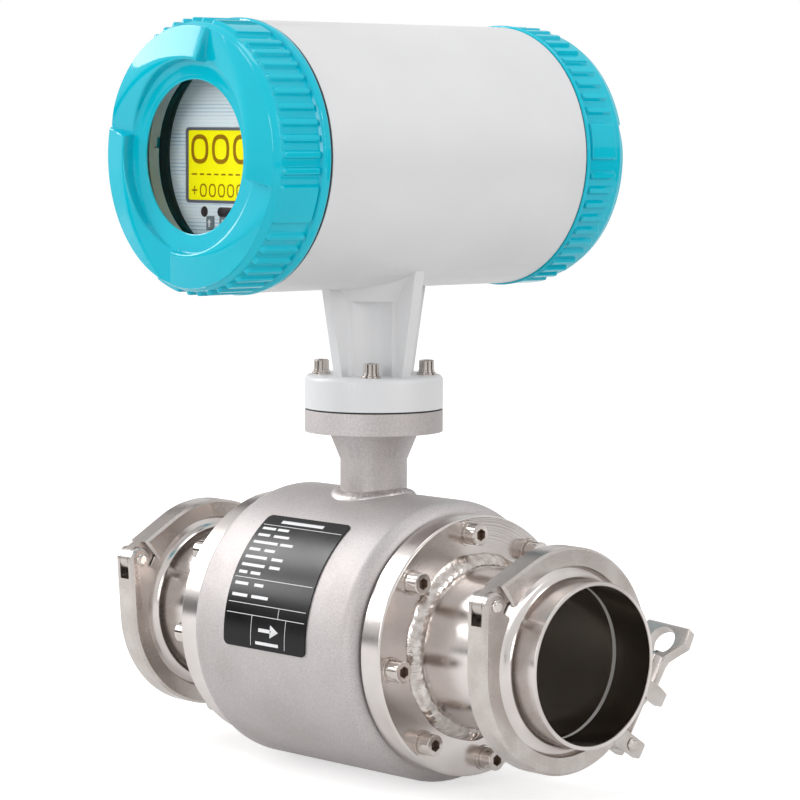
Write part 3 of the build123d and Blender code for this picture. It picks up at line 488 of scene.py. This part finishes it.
def lobe_height(angle, r, turn):
    """Pinwheel lobes over the dished face: the lower of a cone, 5.4 mm at the inner radius and as
    high as the dish is deep at the outer one, and a plane that falls to nothing over a quarter
    turn, blended where they meet. A short wall rises where the next lobe starts, and the inner
    edge is rounded by a quarter ellipse 1 mm wide."""
    crest, slope, blend, wall_length, edge_drop = 5.4, 0.125, 0.35, 1.3, 0.9
    quarter = np.radians((angle - turn) % 90)
    cone = crest * (LOBE_OUTER_R - r) / LOBE_WIDTH + FACE_DISH * (r - LOBE_INNER_R) / LOBE_WIDTH
    plane = slope * r * np.cos(quarter)
    low = -blend * np.log(np.exp(-cone / blend) + np.exp(-plane / blend))
    wall = smooth_step(quarter * r / wall_length)
    near = np.clip(LOBE_INNER_R + 1.0 - r, 0, 1)
    rounded = np.maximum(low, 0) * wall - edge_drop * (1 - np.sqrt(1 - near ** 2))
    return np.maximum(rounded, 0) * (r > LOBE_INNER_R - 0.1)


def round_converter(angle, r, s, side):
    """Points at radius r about the converter axis, s beyond the case's end on one side."""
    a = np.radians(angle)
    return np.stack([r * np.cos(a), side * (COVER_END[side] + s) + 0 * a,
                     CONVERTER_Z + r * np.sin(a)], 2)


def cover(side, seat, rim, collar, ribs, panel_turn, lobe_turn, inner):
    """Section (r, s) turned about the converter axis; grips lift r on the skirt and lobes
    lift s on the face."""
    skirt_r, grip_lift = 61.2, 1.9
    angle = np.linspace(0, 360, 1120, endpoint=False)[:, None]
    start = [(SPIGOT_R, seat - 12), (55.6, seat - 12), (56.2, seat - 11.4), (56.2, seat - 0.1),
             (56.3, seat), (62.6, seat), (62.9, seat + 0.15), (63.35, seat + 0.6),
             (63.5, seat + 1.0), (63.5, collar - 1.4), (63.3, collar - 1.0), (61.7, collar - 0.3),
             (skirt_r, collar)]
    skirt_s = np.concatenate([np.linspace(collar + 0.2, ribs[0] + 2.4, 11),
                              np.linspace(ribs[0] + 4, ribs[1] - 4, 6),
                              np.linspace(ribs[1] - 2.4, rim - 0.1, 13)])
    rows = len(skirt_s)
    skirt = np.stack([np.full(rows, skirt_r), skirt_s], 1)
    face_s = rim + 2.6
    rise = [(61.15, rim + 0.25), (60.95, rim + 0.7), (60.1, face_s - 0.5), (59.75, face_s - 0.15)]
    face_r = np.concatenate([np.linspace(LOBE_OUTER_R, LOBE_INNER_R + 1, 21),
                             [44.7, 44.4, 44.18, 44.05, LOBE_INNER_R]])
    face = np.stack([face_r, face_s - FACE_DISH * (LOBE_OUTER_R - face_r) / LOBE_WIDTH], 1)
    profile = np.concatenate([start, skirt, rise, face, inner(face_s)])
    r, s = profile[None, :, 0], profile[None, :, 1]
    n, m = len(start), len(start) + rows
    on_skirt = np.zeros(len(profile))
    on_skirt[n:m] = 1
    on_face = np.zeros(len(profile))
    on_face[m + len(rise):m + len(rise) + len(face)] = 1
    r = r + grip_lift * on_skirt * grip_height(angle, s, ribs[0], ribs[1], panel_turn)
    s = s + on_face * lobe_height(angle, r, lobe_turn)
    return grid(round_converter(angle, r, s, side), True, True)


def window_edge(face):
    """From the lobes' foot over the dished ring, round the window and back to the spigot."""
    lip = face - 2.2
    return [(43.7, face - 1.25), (43.2, face - 1.4), (40, lip + 0.55), (37, lip + 0.15),
            (36, lip), (35.6, lip), (35.15, lip - 0.15), (35, lip - 0.5), (35.1, lip - 0.9),
            (35.4, lip - 1.1), (38.5, lip - 2.2), (38.6, lip - 3), (48.75, lip - 3),
            (48.75, lip - 16), (SPIGOT_R, lip - 16)]


def blank_face(face):
    """From the lobes' foot across the dished middle, then back inside to the spigot."""
    return [(43.7, face - 1.25), (43.2, face - 1.4), (38, face - 1.9), (20, face - 2.0),
            (0.0, face - 2.0), (0.0, face - 7.1), (SPIGOT_R, face - 7.1)]


piece("front_cover_enamel", "front_cover",
      [cover(-1, 1.4, 29.0, 6.6, (7.3, 28.4), -19.4, -13.5, window_edge)],
      cyan_paint, ["front_cover"], sharp=50)
piece("rear_cover_enamel", "rear_cover",
      [cover(1, 0.8, 24.6, 3.3, (4.1, 20.8), 6.8, 14.0, blank_face)],
      cyan_paint, ["rear_cover"], sharp=50, close=True)


# Rings that hold the window glass

def clamp_ring(front, back, inner, outer, slot_turn):
    """Ring about the converter axis whose bore is 1.6 mm larger in four slots 4.8 mm wide that
    run 2.8 mm in from its back."""
    angle = np.linspace(0, 360, 720, endpoint=False)[:, None]
    s = np.array([front, front - 0.25, back + 2.9, back + 2.7, back + 0.25, back, back, back + 0.3,
                  front - 0.3, front])[None, :]
    r = np.array([inner + 0.25, inner, inner, inner, inner, inner + 0.25, outer - 0.3, outer, outer,
                  outer - 0.3])[None, :]
    slotted = np.array([0, 0, 0, 1, 1, 1, 0, 0, 0, 0])[None, :]
    half_slot, slot_depth = 2.4, 1.6
    off = (angle - slot_turn + 45) % 90 - 45
    slot = (np.abs(np.radians(off) * inner) < half_slot) * slotted
    return grid(round_converter(angle, r + slot_depth * slot, s, -1), True, True)


piece("glass_ring", "front_cover", [clamp_ring(19.3, 13.4, 42.0, 48.3, -8.5)], ring_grey,
      ["glass_retainer"])
seal_front, seal_back = -COVER_END[-1] - 26.4, -COVER_END[-1] - 25.5
seal = soft_profile([(seal_front, 38.6), (seal_front, 48.4), (seal_back, 48.4),
                     (seal_back, 38.6)], 0.1)
piece("glass_seal_ring", "front_cover", [turned(seal, 1, (0, 0, CONVERTER_Z))], black_rubber,
      ["glass_seal"])


# Weld beads

def ripple(along, across, count):
    """Overlapping crescents: a rising saw tooth of the way along, bent back towards the edges."""
    t = (along * count + 1.1 * (2 * across - 1) ** 2) % 1.0
    return (1 - t) ** 0.6 * 0.75 + 0.25 * np.sin(2 * pi * along * 5 + 1)


def pipe_weld(side):
    """Convex fillet between flange and pipe: a quarter of a superellipse of power 4/3, with
    ripples in both its legs."""
    toe_r, root_r, leg_along, leg_up = 38.1, 38.08, 5.0, 5.8
    turn = np.linspace(0, 1, 1100, endpoint=False)[:, None]
    v = np.linspace(0, 1, 13)[None, :]
    a = v * pi / 2
    lift = 1 + 0.09 * (ripple(turn, v, 66) - 0.4) * np.sin(pi * v)
    lift = lift * (1 + 0.03 * np.sin(2 * pi * turn * 17 + 3 * np.sin(2 * pi * turn * 5)))
    uneven = 1 + 0.05 * np.sin(2 * pi * turn * 3 + 0.7) + 0.03 * np.sin(2 * pi * turn * 11)
    x = side * (FLANGE_FACE_X + leg_along * uneven * np.sin(a) ** 1.5 * lift)
    r = toe_r + leg_up * uneven * np.cos(a) ** 1.5 * lift
    t = 2 * pi * turn
    points = np.stack([x, r * np.cos(t), r * np.sin(t)], 2)
    back = np.stack([0 * turn + side * FLANGE_FACE_X, root_r * np.cos(t), root_r * np.sin(t)], 2)
    return grid(np.concatenate([points, back], 1), True, True)


def neck_weld():
    """Convex fillet round the neck where it meets the body's cylinder."""
    leg_out, leg_up = 4.4, 2.4
    turn = np.linspace(0, 1, 640, endpoint=False)[:, None]
    v = np.linspace(0, 1, 11)[None, :]
    a = v * pi / 2
    lift = 1 + 0.14 * (ripple(turn, v, 42) - 0.4) * np.sin(pi * v)
    r = NECK_R + leg_out * np.sin(a) ** 1.1 * lift
    up = leg_up * np.cos(a) ** 1.1 * lift
    t = 2 * pi * turn
    y = r * np.sin(t)
    points = np.stack([r * np.cos(t), y, np.sqrt(BODY_R ** 2 - y ** 2) + up], 2)
    y0 = NECK_R * np.sin(t)
    root = np.stack([NECK_R * np.cos(t), y0, np.sqrt(BODY_R ** 2 - y0 ** 2) - 0.3], 2)
    return grid(np.concatenate([points, root], 1), True, True)


for end, side in ENDS:
    piece(end + "_weld_bead", "meter", [pipe_weld(side)], weld_steel, [end + "_weld"],
          sharp=70)
piece("neck_weld_bead", "meter", [neck_weld()], matt_weld, ["neck_weld"], sharp=70)


# Pipe ends, turned from rounded sections

def ferrule(side, start, length):
    """Ferrule section from its sealing face back along the pipe."""
    d = [(0, PIPE_BORE_R), (0, FERRULE_R), (2.85, FERRULE_R), (4.84, 40.05), (6.84, PIPE_R),
         (abs(length), PIPE_R), (abs(length), PIPE_BORE_R)]
    back = side if length > 0 else -side
    soft = soft_profile([(side * start + back * k, r) for k, r in d],
                        [0.25, 0.5, 0.5, 1.5, 2, 0.3, 0.3])
    return turned(soft, 0)


for end, side in ENDS:
    piece(end + "_spool_skin", "meter", [ferrule(side, 125.0, -65.4)], bore_steel,
          [end + "_spool"])
    piece(end + "_ferrule_skin", "meter", [ferrule(side, 127.0, 21.5)], bore_steel,
          [end + "_weld_ferrule"])


# Swing bolts: eye, plain root and thread

def placed(shape, side, turn, shift):
    """Moves a shape drawn about (x 0, y along the ears, z up) to its clamp."""
    points, faces = shape
    t = radians(turn)
    p = points + np.array(shift)
    y = p[:, 1] * cos(t) - p[:, 2] * sin(t)
    z = p[:, 1] * sin(t) + p[:, 2] * cos(t)
    return np.stack([p[:, 0] + side * CLAMP_X, y, z], 1), faces


def thread(bottom, top, radius, pitch=1.0):
    """Helical V thread: radius less its depth times a triangle wave of height over pitch less
    the turn, running out at both ends, with a chamfer at the tip."""
    z = np.linspace(bottom, top, int((top - bottom) / pitch * 8) + 1)[None, :]
    a = np.linspace(0, 2 * pi, 40, endpoint=False)[:, None]
    depth = 0.55
    wave = np.abs(((z / pitch - a / (2 * pi)) % 1.0) * 2 - 1)
    ends = smooth_step((z - bottom) / 2) * smooth_step((top - z) / 1.2)
    r = radius - depth * wave * ends - 0.6 * smooth_step(1 - (top - z) / 0.7)
    points, faces = grid(np.stack([r * np.cos(a), r * np.sin(a), z + 0 * a], 2), True)
    rows = z.shape[1]
    faces.append([k * rows for k in range(40)][::-1])
    faces.append([k * rows + rows - 1 for k in range(40)])
    return points, faces


PIVOT = (0, 58.0, -13.4)
for end, side, turn in (("inlet", -1, -28.0), ("outlet", 1, -33.0)):
    eye = soft_profile([(-3.2, 2.05), (-3.2, 4.3), (3.2, 4.3), (3.2, 2.05)], 0.5)
    shapes = [placed(turned(eye, 0, sides=64), side, turn, PIVOT),
              placed(thread(3.0, 47.0, 2.95), side, turn, PIVOT)]
    piece(end + "_swing_bolt_thread", end + "_bolt", shapes, bright,
          [end + "_swing_bolt"], sharp=60)


# Display

def on_plane(y):
    """Puts (u, v, height) on the plane at y, measured from the converter axis, facing forward."""
    def place(u, v, h):
        return np.stack([u, np.full_like(u, y) - h, CONVERTER_Z + v], 1)
    return place


on_face, on_screen, on_key = on_plane(FACE_Y), on_plane(SCREEN_Y), on_plane(KEY_Y)


def oval(x, z, width, height, stroke):
    """Screen figure nought: a superellipse of power 2.6 drawn with one stroke."""
    t = np.linspace(0, 2 * pi, 56, endpoint=False)
    c, s = np.cos(t), np.sin(t)
    u = x + (width - stroke) / 2 * np.sign(c) * np.abs(c) ** (2 / 2.6)
    v = z + (height - stroke) / 2 * np.sign(s) * np.abs(s) ** (2 / 2.6)
    return ribbon(np.stack([u, v], 1), stroke, 0.08, on_screen, True)


def stroke(x0, z0, x1, z1, width, place=on_screen, lift=0.08, steps=2):
    return ribbon(np.linspace((x0, z0), (x1, z1), steps), width, lift, place)


def disc_stroke(x0, x1, z, height, place, lift=0.1):
    """A round-ended bar: its width follows a circle at both ends."""
    u = np.linspace(x0, x1, 33)
    near = np.minimum(u - x0, x1 - u)
    r = height / 2
    w = 2 * np.sqrt(np.clip(r * r - np.clip(r - near, 0, r) ** 2, 1e-4, None))
    return ribbon(np.stack([u, 0 * u + z], 1), w, lift, place)


def slab_panel(x0, x1, z0, z1, corner, front, deep):
    """Flat panel with rounded corners: each corner a quarter circle, its rim eased by 0.15 mm."""
    t = np.linspace(0, pi / 2, 9)
    quarter = np.stack([np.cos(t), np.sin(t)], 1)
    turns = [(1, 1), (-1, 1), (-1, -1), (1, -1)]
    rim = []
    for k, (sx, sz) in enumerate(turns):
        q = quarter if k % 2 == 0 else quarter[::-1]
        rim.append(np.stack([(x1 if sx > 0 else x0) - sx * corner * (1 - q[:, 0]),
                             (z1 if sz > 0 else z0) - sz * corner * (1 - q[:, 1])], 1))
    rim = np.concatenate(rim)
    middle = rim.mean(0)
    inner = middle + (rim - middle) * 0.994
    rows = [(middle + 0 * rim, front), (inner, front), (rim, front - 0.15), (rim, front - deep),
            (middle + 0 * rim, front - deep)]
    return grid(np.stack([on_face(uv[:, 0], uv[:, 1], np.full(len(uv), h)) for uv, h in rows], 1),
                True)


figures = [oval(-22.6 + 15.2 * k, 3.4, 12.6, 13.6, 2.1) for k in range(4)]
figures += [stroke(-28.5, -8.2, -24.7, -8.2, 0.8)]
figures += [stroke(-22.5 + 5.2 * k, -8.2, -19.5 + 5.2 * k, -8.2, 0.8) for k in range(9)]
figures += [stroke(-28.4, -15.6, -24.4, -15.6, 0.75), stroke(-26.4, -17.6, -26.4, -13.6, 0.75)]
figures += [oval(-20.0 + 6.6 * k, -15.6, 5.0, 6.2, 0.8) for k in range(7)]
piece("screen_figures", "meter", figures, print_brown)
piece("screen_panel", "meter", [slab_panel(-30.9, 30.9, -20.1, 12.1, 1.0, -0.2, 0.25)], screen,
      sharp=30, close=True)
corner_path = soft_profile([(-31.6, -20.8), (31.6, -20.8), (31.6, 12.8), (-31.6, 12.8)], 1.6)
piece("screen_frame", "meter", [ribbon(corner_path, 1.3, 0.45, on_face, True)], screen_frame)
spots = [disc_stroke(left, right, -25.4, high, on_face)
         for left, right, high in ((-21.5, -16.5, 5.0), (-9.5, 4.5, 4.5), (11.5, 16.5, 5.0))]
piece("face_spots", "meter", spots, print_dark)
for k in range(4):
    x, z = (k - 1.5) * 9.6, -30.6
    head = [1.0, 1.0, 2.6, 1.9, 1.2, 0.02]
    steps = np.array([-1.8, 0.1, 0.1, 0.7, 1.2, 1.9])
    if k in (0, 1):
        path = np.stack([0 * steps + x, z + steps * (1 if k == 0 else -1)], 1)
    else:
        path = np.stack([x + steps * (1 if k == 2 else -1), 0 * steps + z], 1)
    path = path + np.linspace(0, 1e-4, 6)[:, None]
    piece("key_%d_arrow" % (k + 1), "key_%d" % (k + 1), [ribbon(path, head, 0.08, on_key)],
          print_white)


# Rating plate: plain rules and a flow arrow on the curved film

def on_plate(u, v, h):
    """u along x and v round the body, in millimetres of arc above the middle of the plate."""
    a = radians(PLATE_ANGLE) + v / PLATE_R
    r = PLATE_R + h
    return np.stack([u + PLATE_X, -r * np.cos(a), r * np.sin(a)], 1)


def plate_bar(x0, x1, z, height=1.5):
    return stroke(x0, z, x1, z, height, on_plate, 0.04)


rules = [plate_bar(-17.0, 13.0, 30.6, 1.9)]
# Each row: height, length of its first bar, start and length of its second
rows = [(25.5, 9.5, 11.0, 8.0), (21.4, 8.6, 11.5, 11.0), (17.2, 17.5, 19.5, 9.0),
        (13.1, 8.0, 11.0, 7.5), (9.0, 15.5, 19.0, 8.0), (4.8, 16.5, 20.0, 7.5),
        (1.0, 6.0, 8.5, 7.0), (-4.6, 9.5, 14.0, 6.5), (-10.2, 11.0, 14.0, 12.0)]
left = -26.5
for z, wide, value_at, value in rows:
    rules += [plate_bar(left, left + wide, z),
              plate_bar(left + value_at, left + value_at + value, z)]
rules += [stroke(-28.0, z, 28.0, z, 0.3, on_plate, 0.04, 9) for z in (27.8, -1.6, -13.8, -18.8)]
rules += [stroke(9.0, -18.8, 9.0, -13.8, 0.3, on_plate, 0.04, 5)]
rules += [stroke(x, -33.0, x, -18.8, 0.3, on_plate, 0.04, 9) for x in (-9.5, 15.0)]
rules += [plate_bar(-6.0, 10.5, -31.4)]
shaft = np.array([-5.5, 2.8, 2.8, 4.5, 6.4, 8.6])
arrow = np.stack([shaft + 1.5, np.full(6, -25.2)], 1) + np.linspace(0, 1e-4, 6)[:, None]
rules += [ribbon(arrow, [1.7, 1.7, 6.2, 4.4, 2.4, 0.02], 0.05, on_plate)]
piece("plate_rules", "meter", rules, print_white)


# Painted shade: dark hexagonal cups set in the cap screws' recesses

def recess(centre, axis, along, flats, depth, turn):
    """Hexagonal cup of a width across flats, from depth[0] down to its floor at depth[1], with a
    thin wall that stands in the screw's metal; in its dark material it paints the recess's shade."""
    a = np.radians(np.arange(6) * 60 + turn)[:, None]
    rim = flats / 2 / cos(pi / 6)
    r = np.array([[rim, rim, 0, 0, rim + 0.15, rim + 0.15]])
    top, floor = depth
    h = -np.array([[top, floor, floor, floor + 0.1, floor + 0.1, top]]) + 0 * a
    others = [k for k in range(3) if k != axis]
    p = np.empty((6, 6, 3))
    p[..., axis] = centre[axis] + along * h
    p[..., others[0]] = centre[others[0]] + r * np.cos(a)
    p[..., others[1]] = centre[others[1]] + r * np.sin(a)
    return grid(p, True, True)


# Dark cups in the flange and neck screws paint the shade in their recesses.
low, high = (np.array(corner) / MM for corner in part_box("flange_screws"))
for (end, side), top in zip(ENDS, (low[0], high[0])):
    cups = [recess((top, FLANGE_BOLTS_R * cos(t), FLANGE_BOLTS_R * sin(t)), 0, side, 4.9,
                   (0.3, 3.15), 30)
            for t in np.radians(96 + 45 * np.arange(8))]
    piece(end + "_screw_recess_painted_shade", "meter", cups, painted_socket_shade, sharp=20,
          close=True)
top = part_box("neck_screws")[1][2] / MM
cups = [recess((NECK_BOLTS_R * cos(t), NECK_BOLTS_R * sin(t), top), 2, 1, 2.9, (0.25, 2.45), 0)
        for t in np.radians(45 + 90 * np.arange(4))]
piece("neck_screw_recess_painted_shade", "meter", cups, painted_socket_shade, sharp=20, close=True)


# The other solids keep their shape, with rounded edges

def soft_set(names, width, material):
    for name in names:
        softened(name, width, material)


ends = ("inlet", "outlet")
soft_set(["sensor_housing"], 0.4, blasted)
soft_set(["sensor_neck"], 0.35, blasted)
soft_set([e + "_flange" for e in ends], 0.3, turned_steel)
soft_set([e + "_gasket" for e in ends], 0.1, white_rubber)
soft_set([e + "_clamp_" + h for e in ends for h in ("upper", "lower")], 0.45, cast)
soft_set([e + "_wing_nut" for e in ends], 0.5, cast)
soft_set([e + p for e in ends for p in ("_hinge_pin", "_pivot_pin")], 0.4, bright)
soft_set(["flange_screws", "neck_screws"], 0.25, bright)
soft_set(["flange_flat_washers", "flange_spring_washers", "neck_washers"], 0.12, bright)
soft_set(["converter_housing"], 0.8, grey_paint)
soft_set(["neck_gasket", "front_gasket", "rear_gasket"], 0.08, black_rubber)
soft_set(["data_plate"], 0.08, label_black)
soft_set(["display_bezel"], 0.3, bezel_black)
soft_set(["face_plate"], 0.1, face_film)
soft_set(["lcd_module"], 0.15, carrier_grey)
soft_set(["key_%d" % k for k in range(1, 5)], 0.15, key_grey)
soft_set(["cable_glands", "gland_nuts", "terminal_block"], 0.35, black_plastic)
soft_set(["front_glass"], 0.2, glass)

plain = {
    "measuring_tube": turned_steel, "liner": lining, "coil_upper": winding,
    "coil_lower": winding, "pole_shoes": iron, "yoke_band": iron, "electrodes": bright,
    "electrode_bushes": lining, "main_board": board_green, "power_board": board_green,
}
for name, material in plain.items():
    mesh = frame["nodes"][name].data
    mesh.materials.clear()
    mesh.materials.append(material)


# Camera at the photograph's angle

def look(azimuth, elevation, roll, distance, right_shift, height, focal):
    """Camera on the line back = (sin a cos e, -cos a cos e, sin e) from its target, rolled.
    The focal length is given in pixels of the picture."""
    sensor_width, picture_width = 36, 800
    a, e, w = radians(azimuth), radians(elevation), radians(roll)
    back = np.array([sin(a) * cos(e), -cos(a) * cos(e), sin(e)])
    right = np.array([cos(a), sin(a), 0])
    up = np.cross(back, right)
    r = right * cos(w) + up * sin(w)
    u = -right * sin(w) + up * cos(w)
    target = right_shift * r + height * u
    place = (target + back * distance) * MM
    data = bpy.data.cameras.new("camera")
    data.lens = sensor_width * focal / picture_width
    data.clip_start, data.clip_end = 0.1, 50
    camera = bpy.data.objects.new("camera", data)
    scene.collection.objects.link(camera)
    axes = np.stack([r, u, back], 1)
    camera.matrix_world = Matrix.Translation(Vector(place)) @ Matrix(axes.tolist()).to_4x4()
    scene.camera = camera


look(47.73, 4.726, 0.199, 1598.013, 12.855, 109.795, 3323.796)


# Studio

def facing(place, target):
    return (Vector(target) - Vector(place)).to_track_quat("-Z", "Y").to_euler()


def lamp(name, place, target, size, power):
    data = bpy.data.lights.new(name, "AREA")
    data.shape = "RECTANGLE"
    data.size, data.size_y = size
    data.energy = power
    o = bpy.data.objects.new(name, data)
    o.location = place
    o.rotation_euler = facing(place, target)
    scene.collection.objects.link(o)


lamp("left", (-1.75, -0.72, 1.5), (0, 0, 0.1), (0.45, 1.1), 17)
lamp("left_low", (-1.94, -1.09, 0.83), (0, 0, 0.2), (1.0, 0.42), 10)
lamp("front", (0.5, -2.3, 0.75), (0, 0, 0.1), (0.8, 1.0), 11.5)
lamp("right", (2.2, 0.5, 1.0), (0, 0, 0.1), (0.6, 1.2), 14)
lamp("top", (0.2, -0.1, 2.4), (0, 0, 0.1), (0.9, 0.9), 9)


def backdrop(name, place, target, size, tone):
    """A matt card that shows in reflections, and in those inside the glass."""
    w, h = size[0] / 2, size[1] / 2
    mesh = bpy.data.meshes.new(name)
    mesh.from_pydata([(-w, -h, 0), (w, -h, 0), (w, h, 0), (-w, h, 0)], [], [(0, 1, 2, 3)])
    o = bpy.data.objects.new(name, mesh)
    m = bpy.data.materials.new(name)
    m.use_nodes = True
    m.node_tree.nodes["Principled BSDF"].inputs["Base Color"].default_value = colour(*tone)
    mesh.materials.append(m)
    o.location = place
    o.rotation_euler = facing(place, target)
    o.visible_camera = o.visible_diffuse = o.visible_shadow = False
    scene.collection.objects.link(o)


backdrop("left_gap", (-1.62, -1.58, 0.08), (0, 0, 0.15), (0.5, 0.17), (22, 20, 20))
backdrop("window_gap", (-1.622, -1.289, 0.13), (0, 0, 0.15), (0.34, 0.36), (22, 20, 20))
backdrop("back_left_strip", (-1.6, 0.82, 1.12), (0, 0, 0.05), (1.1, 0.36), (66, 56, 52))
backdrop("back_left_low", (-1.5, 1.45, 0.16), (0, 0, 0.05), (0.6, 0.36), (150, 140, 134))
backdrop("right_card", (0.8, 0.7, 0.13), (0, 0, 0.05), (0.5, 0.38), (96, 85, 79))
backdrop("right_strip", (1.5, 0.45, 0.5), (0, 0, 0.05), (0.3, 0.9), (50, 44, 40))
backdrop("front_gap", (-0.1, -2.2, 0.0), (0, 0, 0.12), (1.3, 0.12), (34, 31, 30))
backdrop("right_gap", (2.1, -0.9, 0.0), (0, 0, 0.12), (0.9, 0.12), (34, 31, 30))


def seen_share(tree, spread, mirrored):
    """1 for the camera, straight or through glass; less in mirrors and for spread light."""
    path = node(tree, "LightPath")
    straight = maths(tree, "MAXIMUM", path.outputs["Is Camera Ray"],
                     path.outputs["Is Transmission Ray"])
    shine = maths(tree, "MULTIPLY", path.outputs["Is Glossy Ray"], mirrored - spread)
    return maths(tree, "ADD", maths(tree, "MULTIPLY", straight, 1 - spread),
                 maths(tree, "ADD", shine, spread))


floor = bpy.data.meshes.new("floor")
floor.from_pydata([(x, y, FLOOR_Z * MM) for x, y in ((-8, -8), (8, -8), (8, 8), (-8, 8))], [],
                  [(0, 1, 2, 3)])
ground = bpy.data.objects.new("floor", floor)
scene.collection.objects.link(ground)
paper = bpy.data.materials.new("floor paper")
paper.use_nodes = True
tree = paper.node_tree
paper_shader = tree.nodes["Principled BSDF"]
paper_shader.inputs["Base Color"].default_value = (0.68, 0.68, 0.68, 1)
paper_shader.inputs["Roughness"].default_value = 0.9
paper_shader.inputs["Specular IOR Level"].default_value = 0.0
glow = node(tree, "Emission", in_Color=(1, 1, 1, 1), in_Strength=0.58)
seen = seen_share(tree, 0.0, 0.45)
none = node(tree, "Emission", in_Color=(0, 0, 0, 1), in_Strength=0.0)
extra = node(tree, "MixShader", in_0=seen, in_1=none.outputs[0], in_2=glow.outputs[0])
total = node(tree, "AddShader", in_0=paper_shader.outputs[0], in_1=extra.outputs[0])
tree.links.new(total.outputs[0], tree.nodes["Material Output"].inputs["Surface"])
floor.materials.append(paper)

world = bpy.data.worlds.new("studio")
scene.world = world
world.use_nodes = True
tree = world.node_tree
back = tree.nodes["Background"]
back.inputs["Color"].default_value = (1, 1, 1, 1)
tree.links.new(seen_share(tree, 0.67, 0.85), back.inputs["Strength"])

scene.view_settings.view_transform = "Standard"
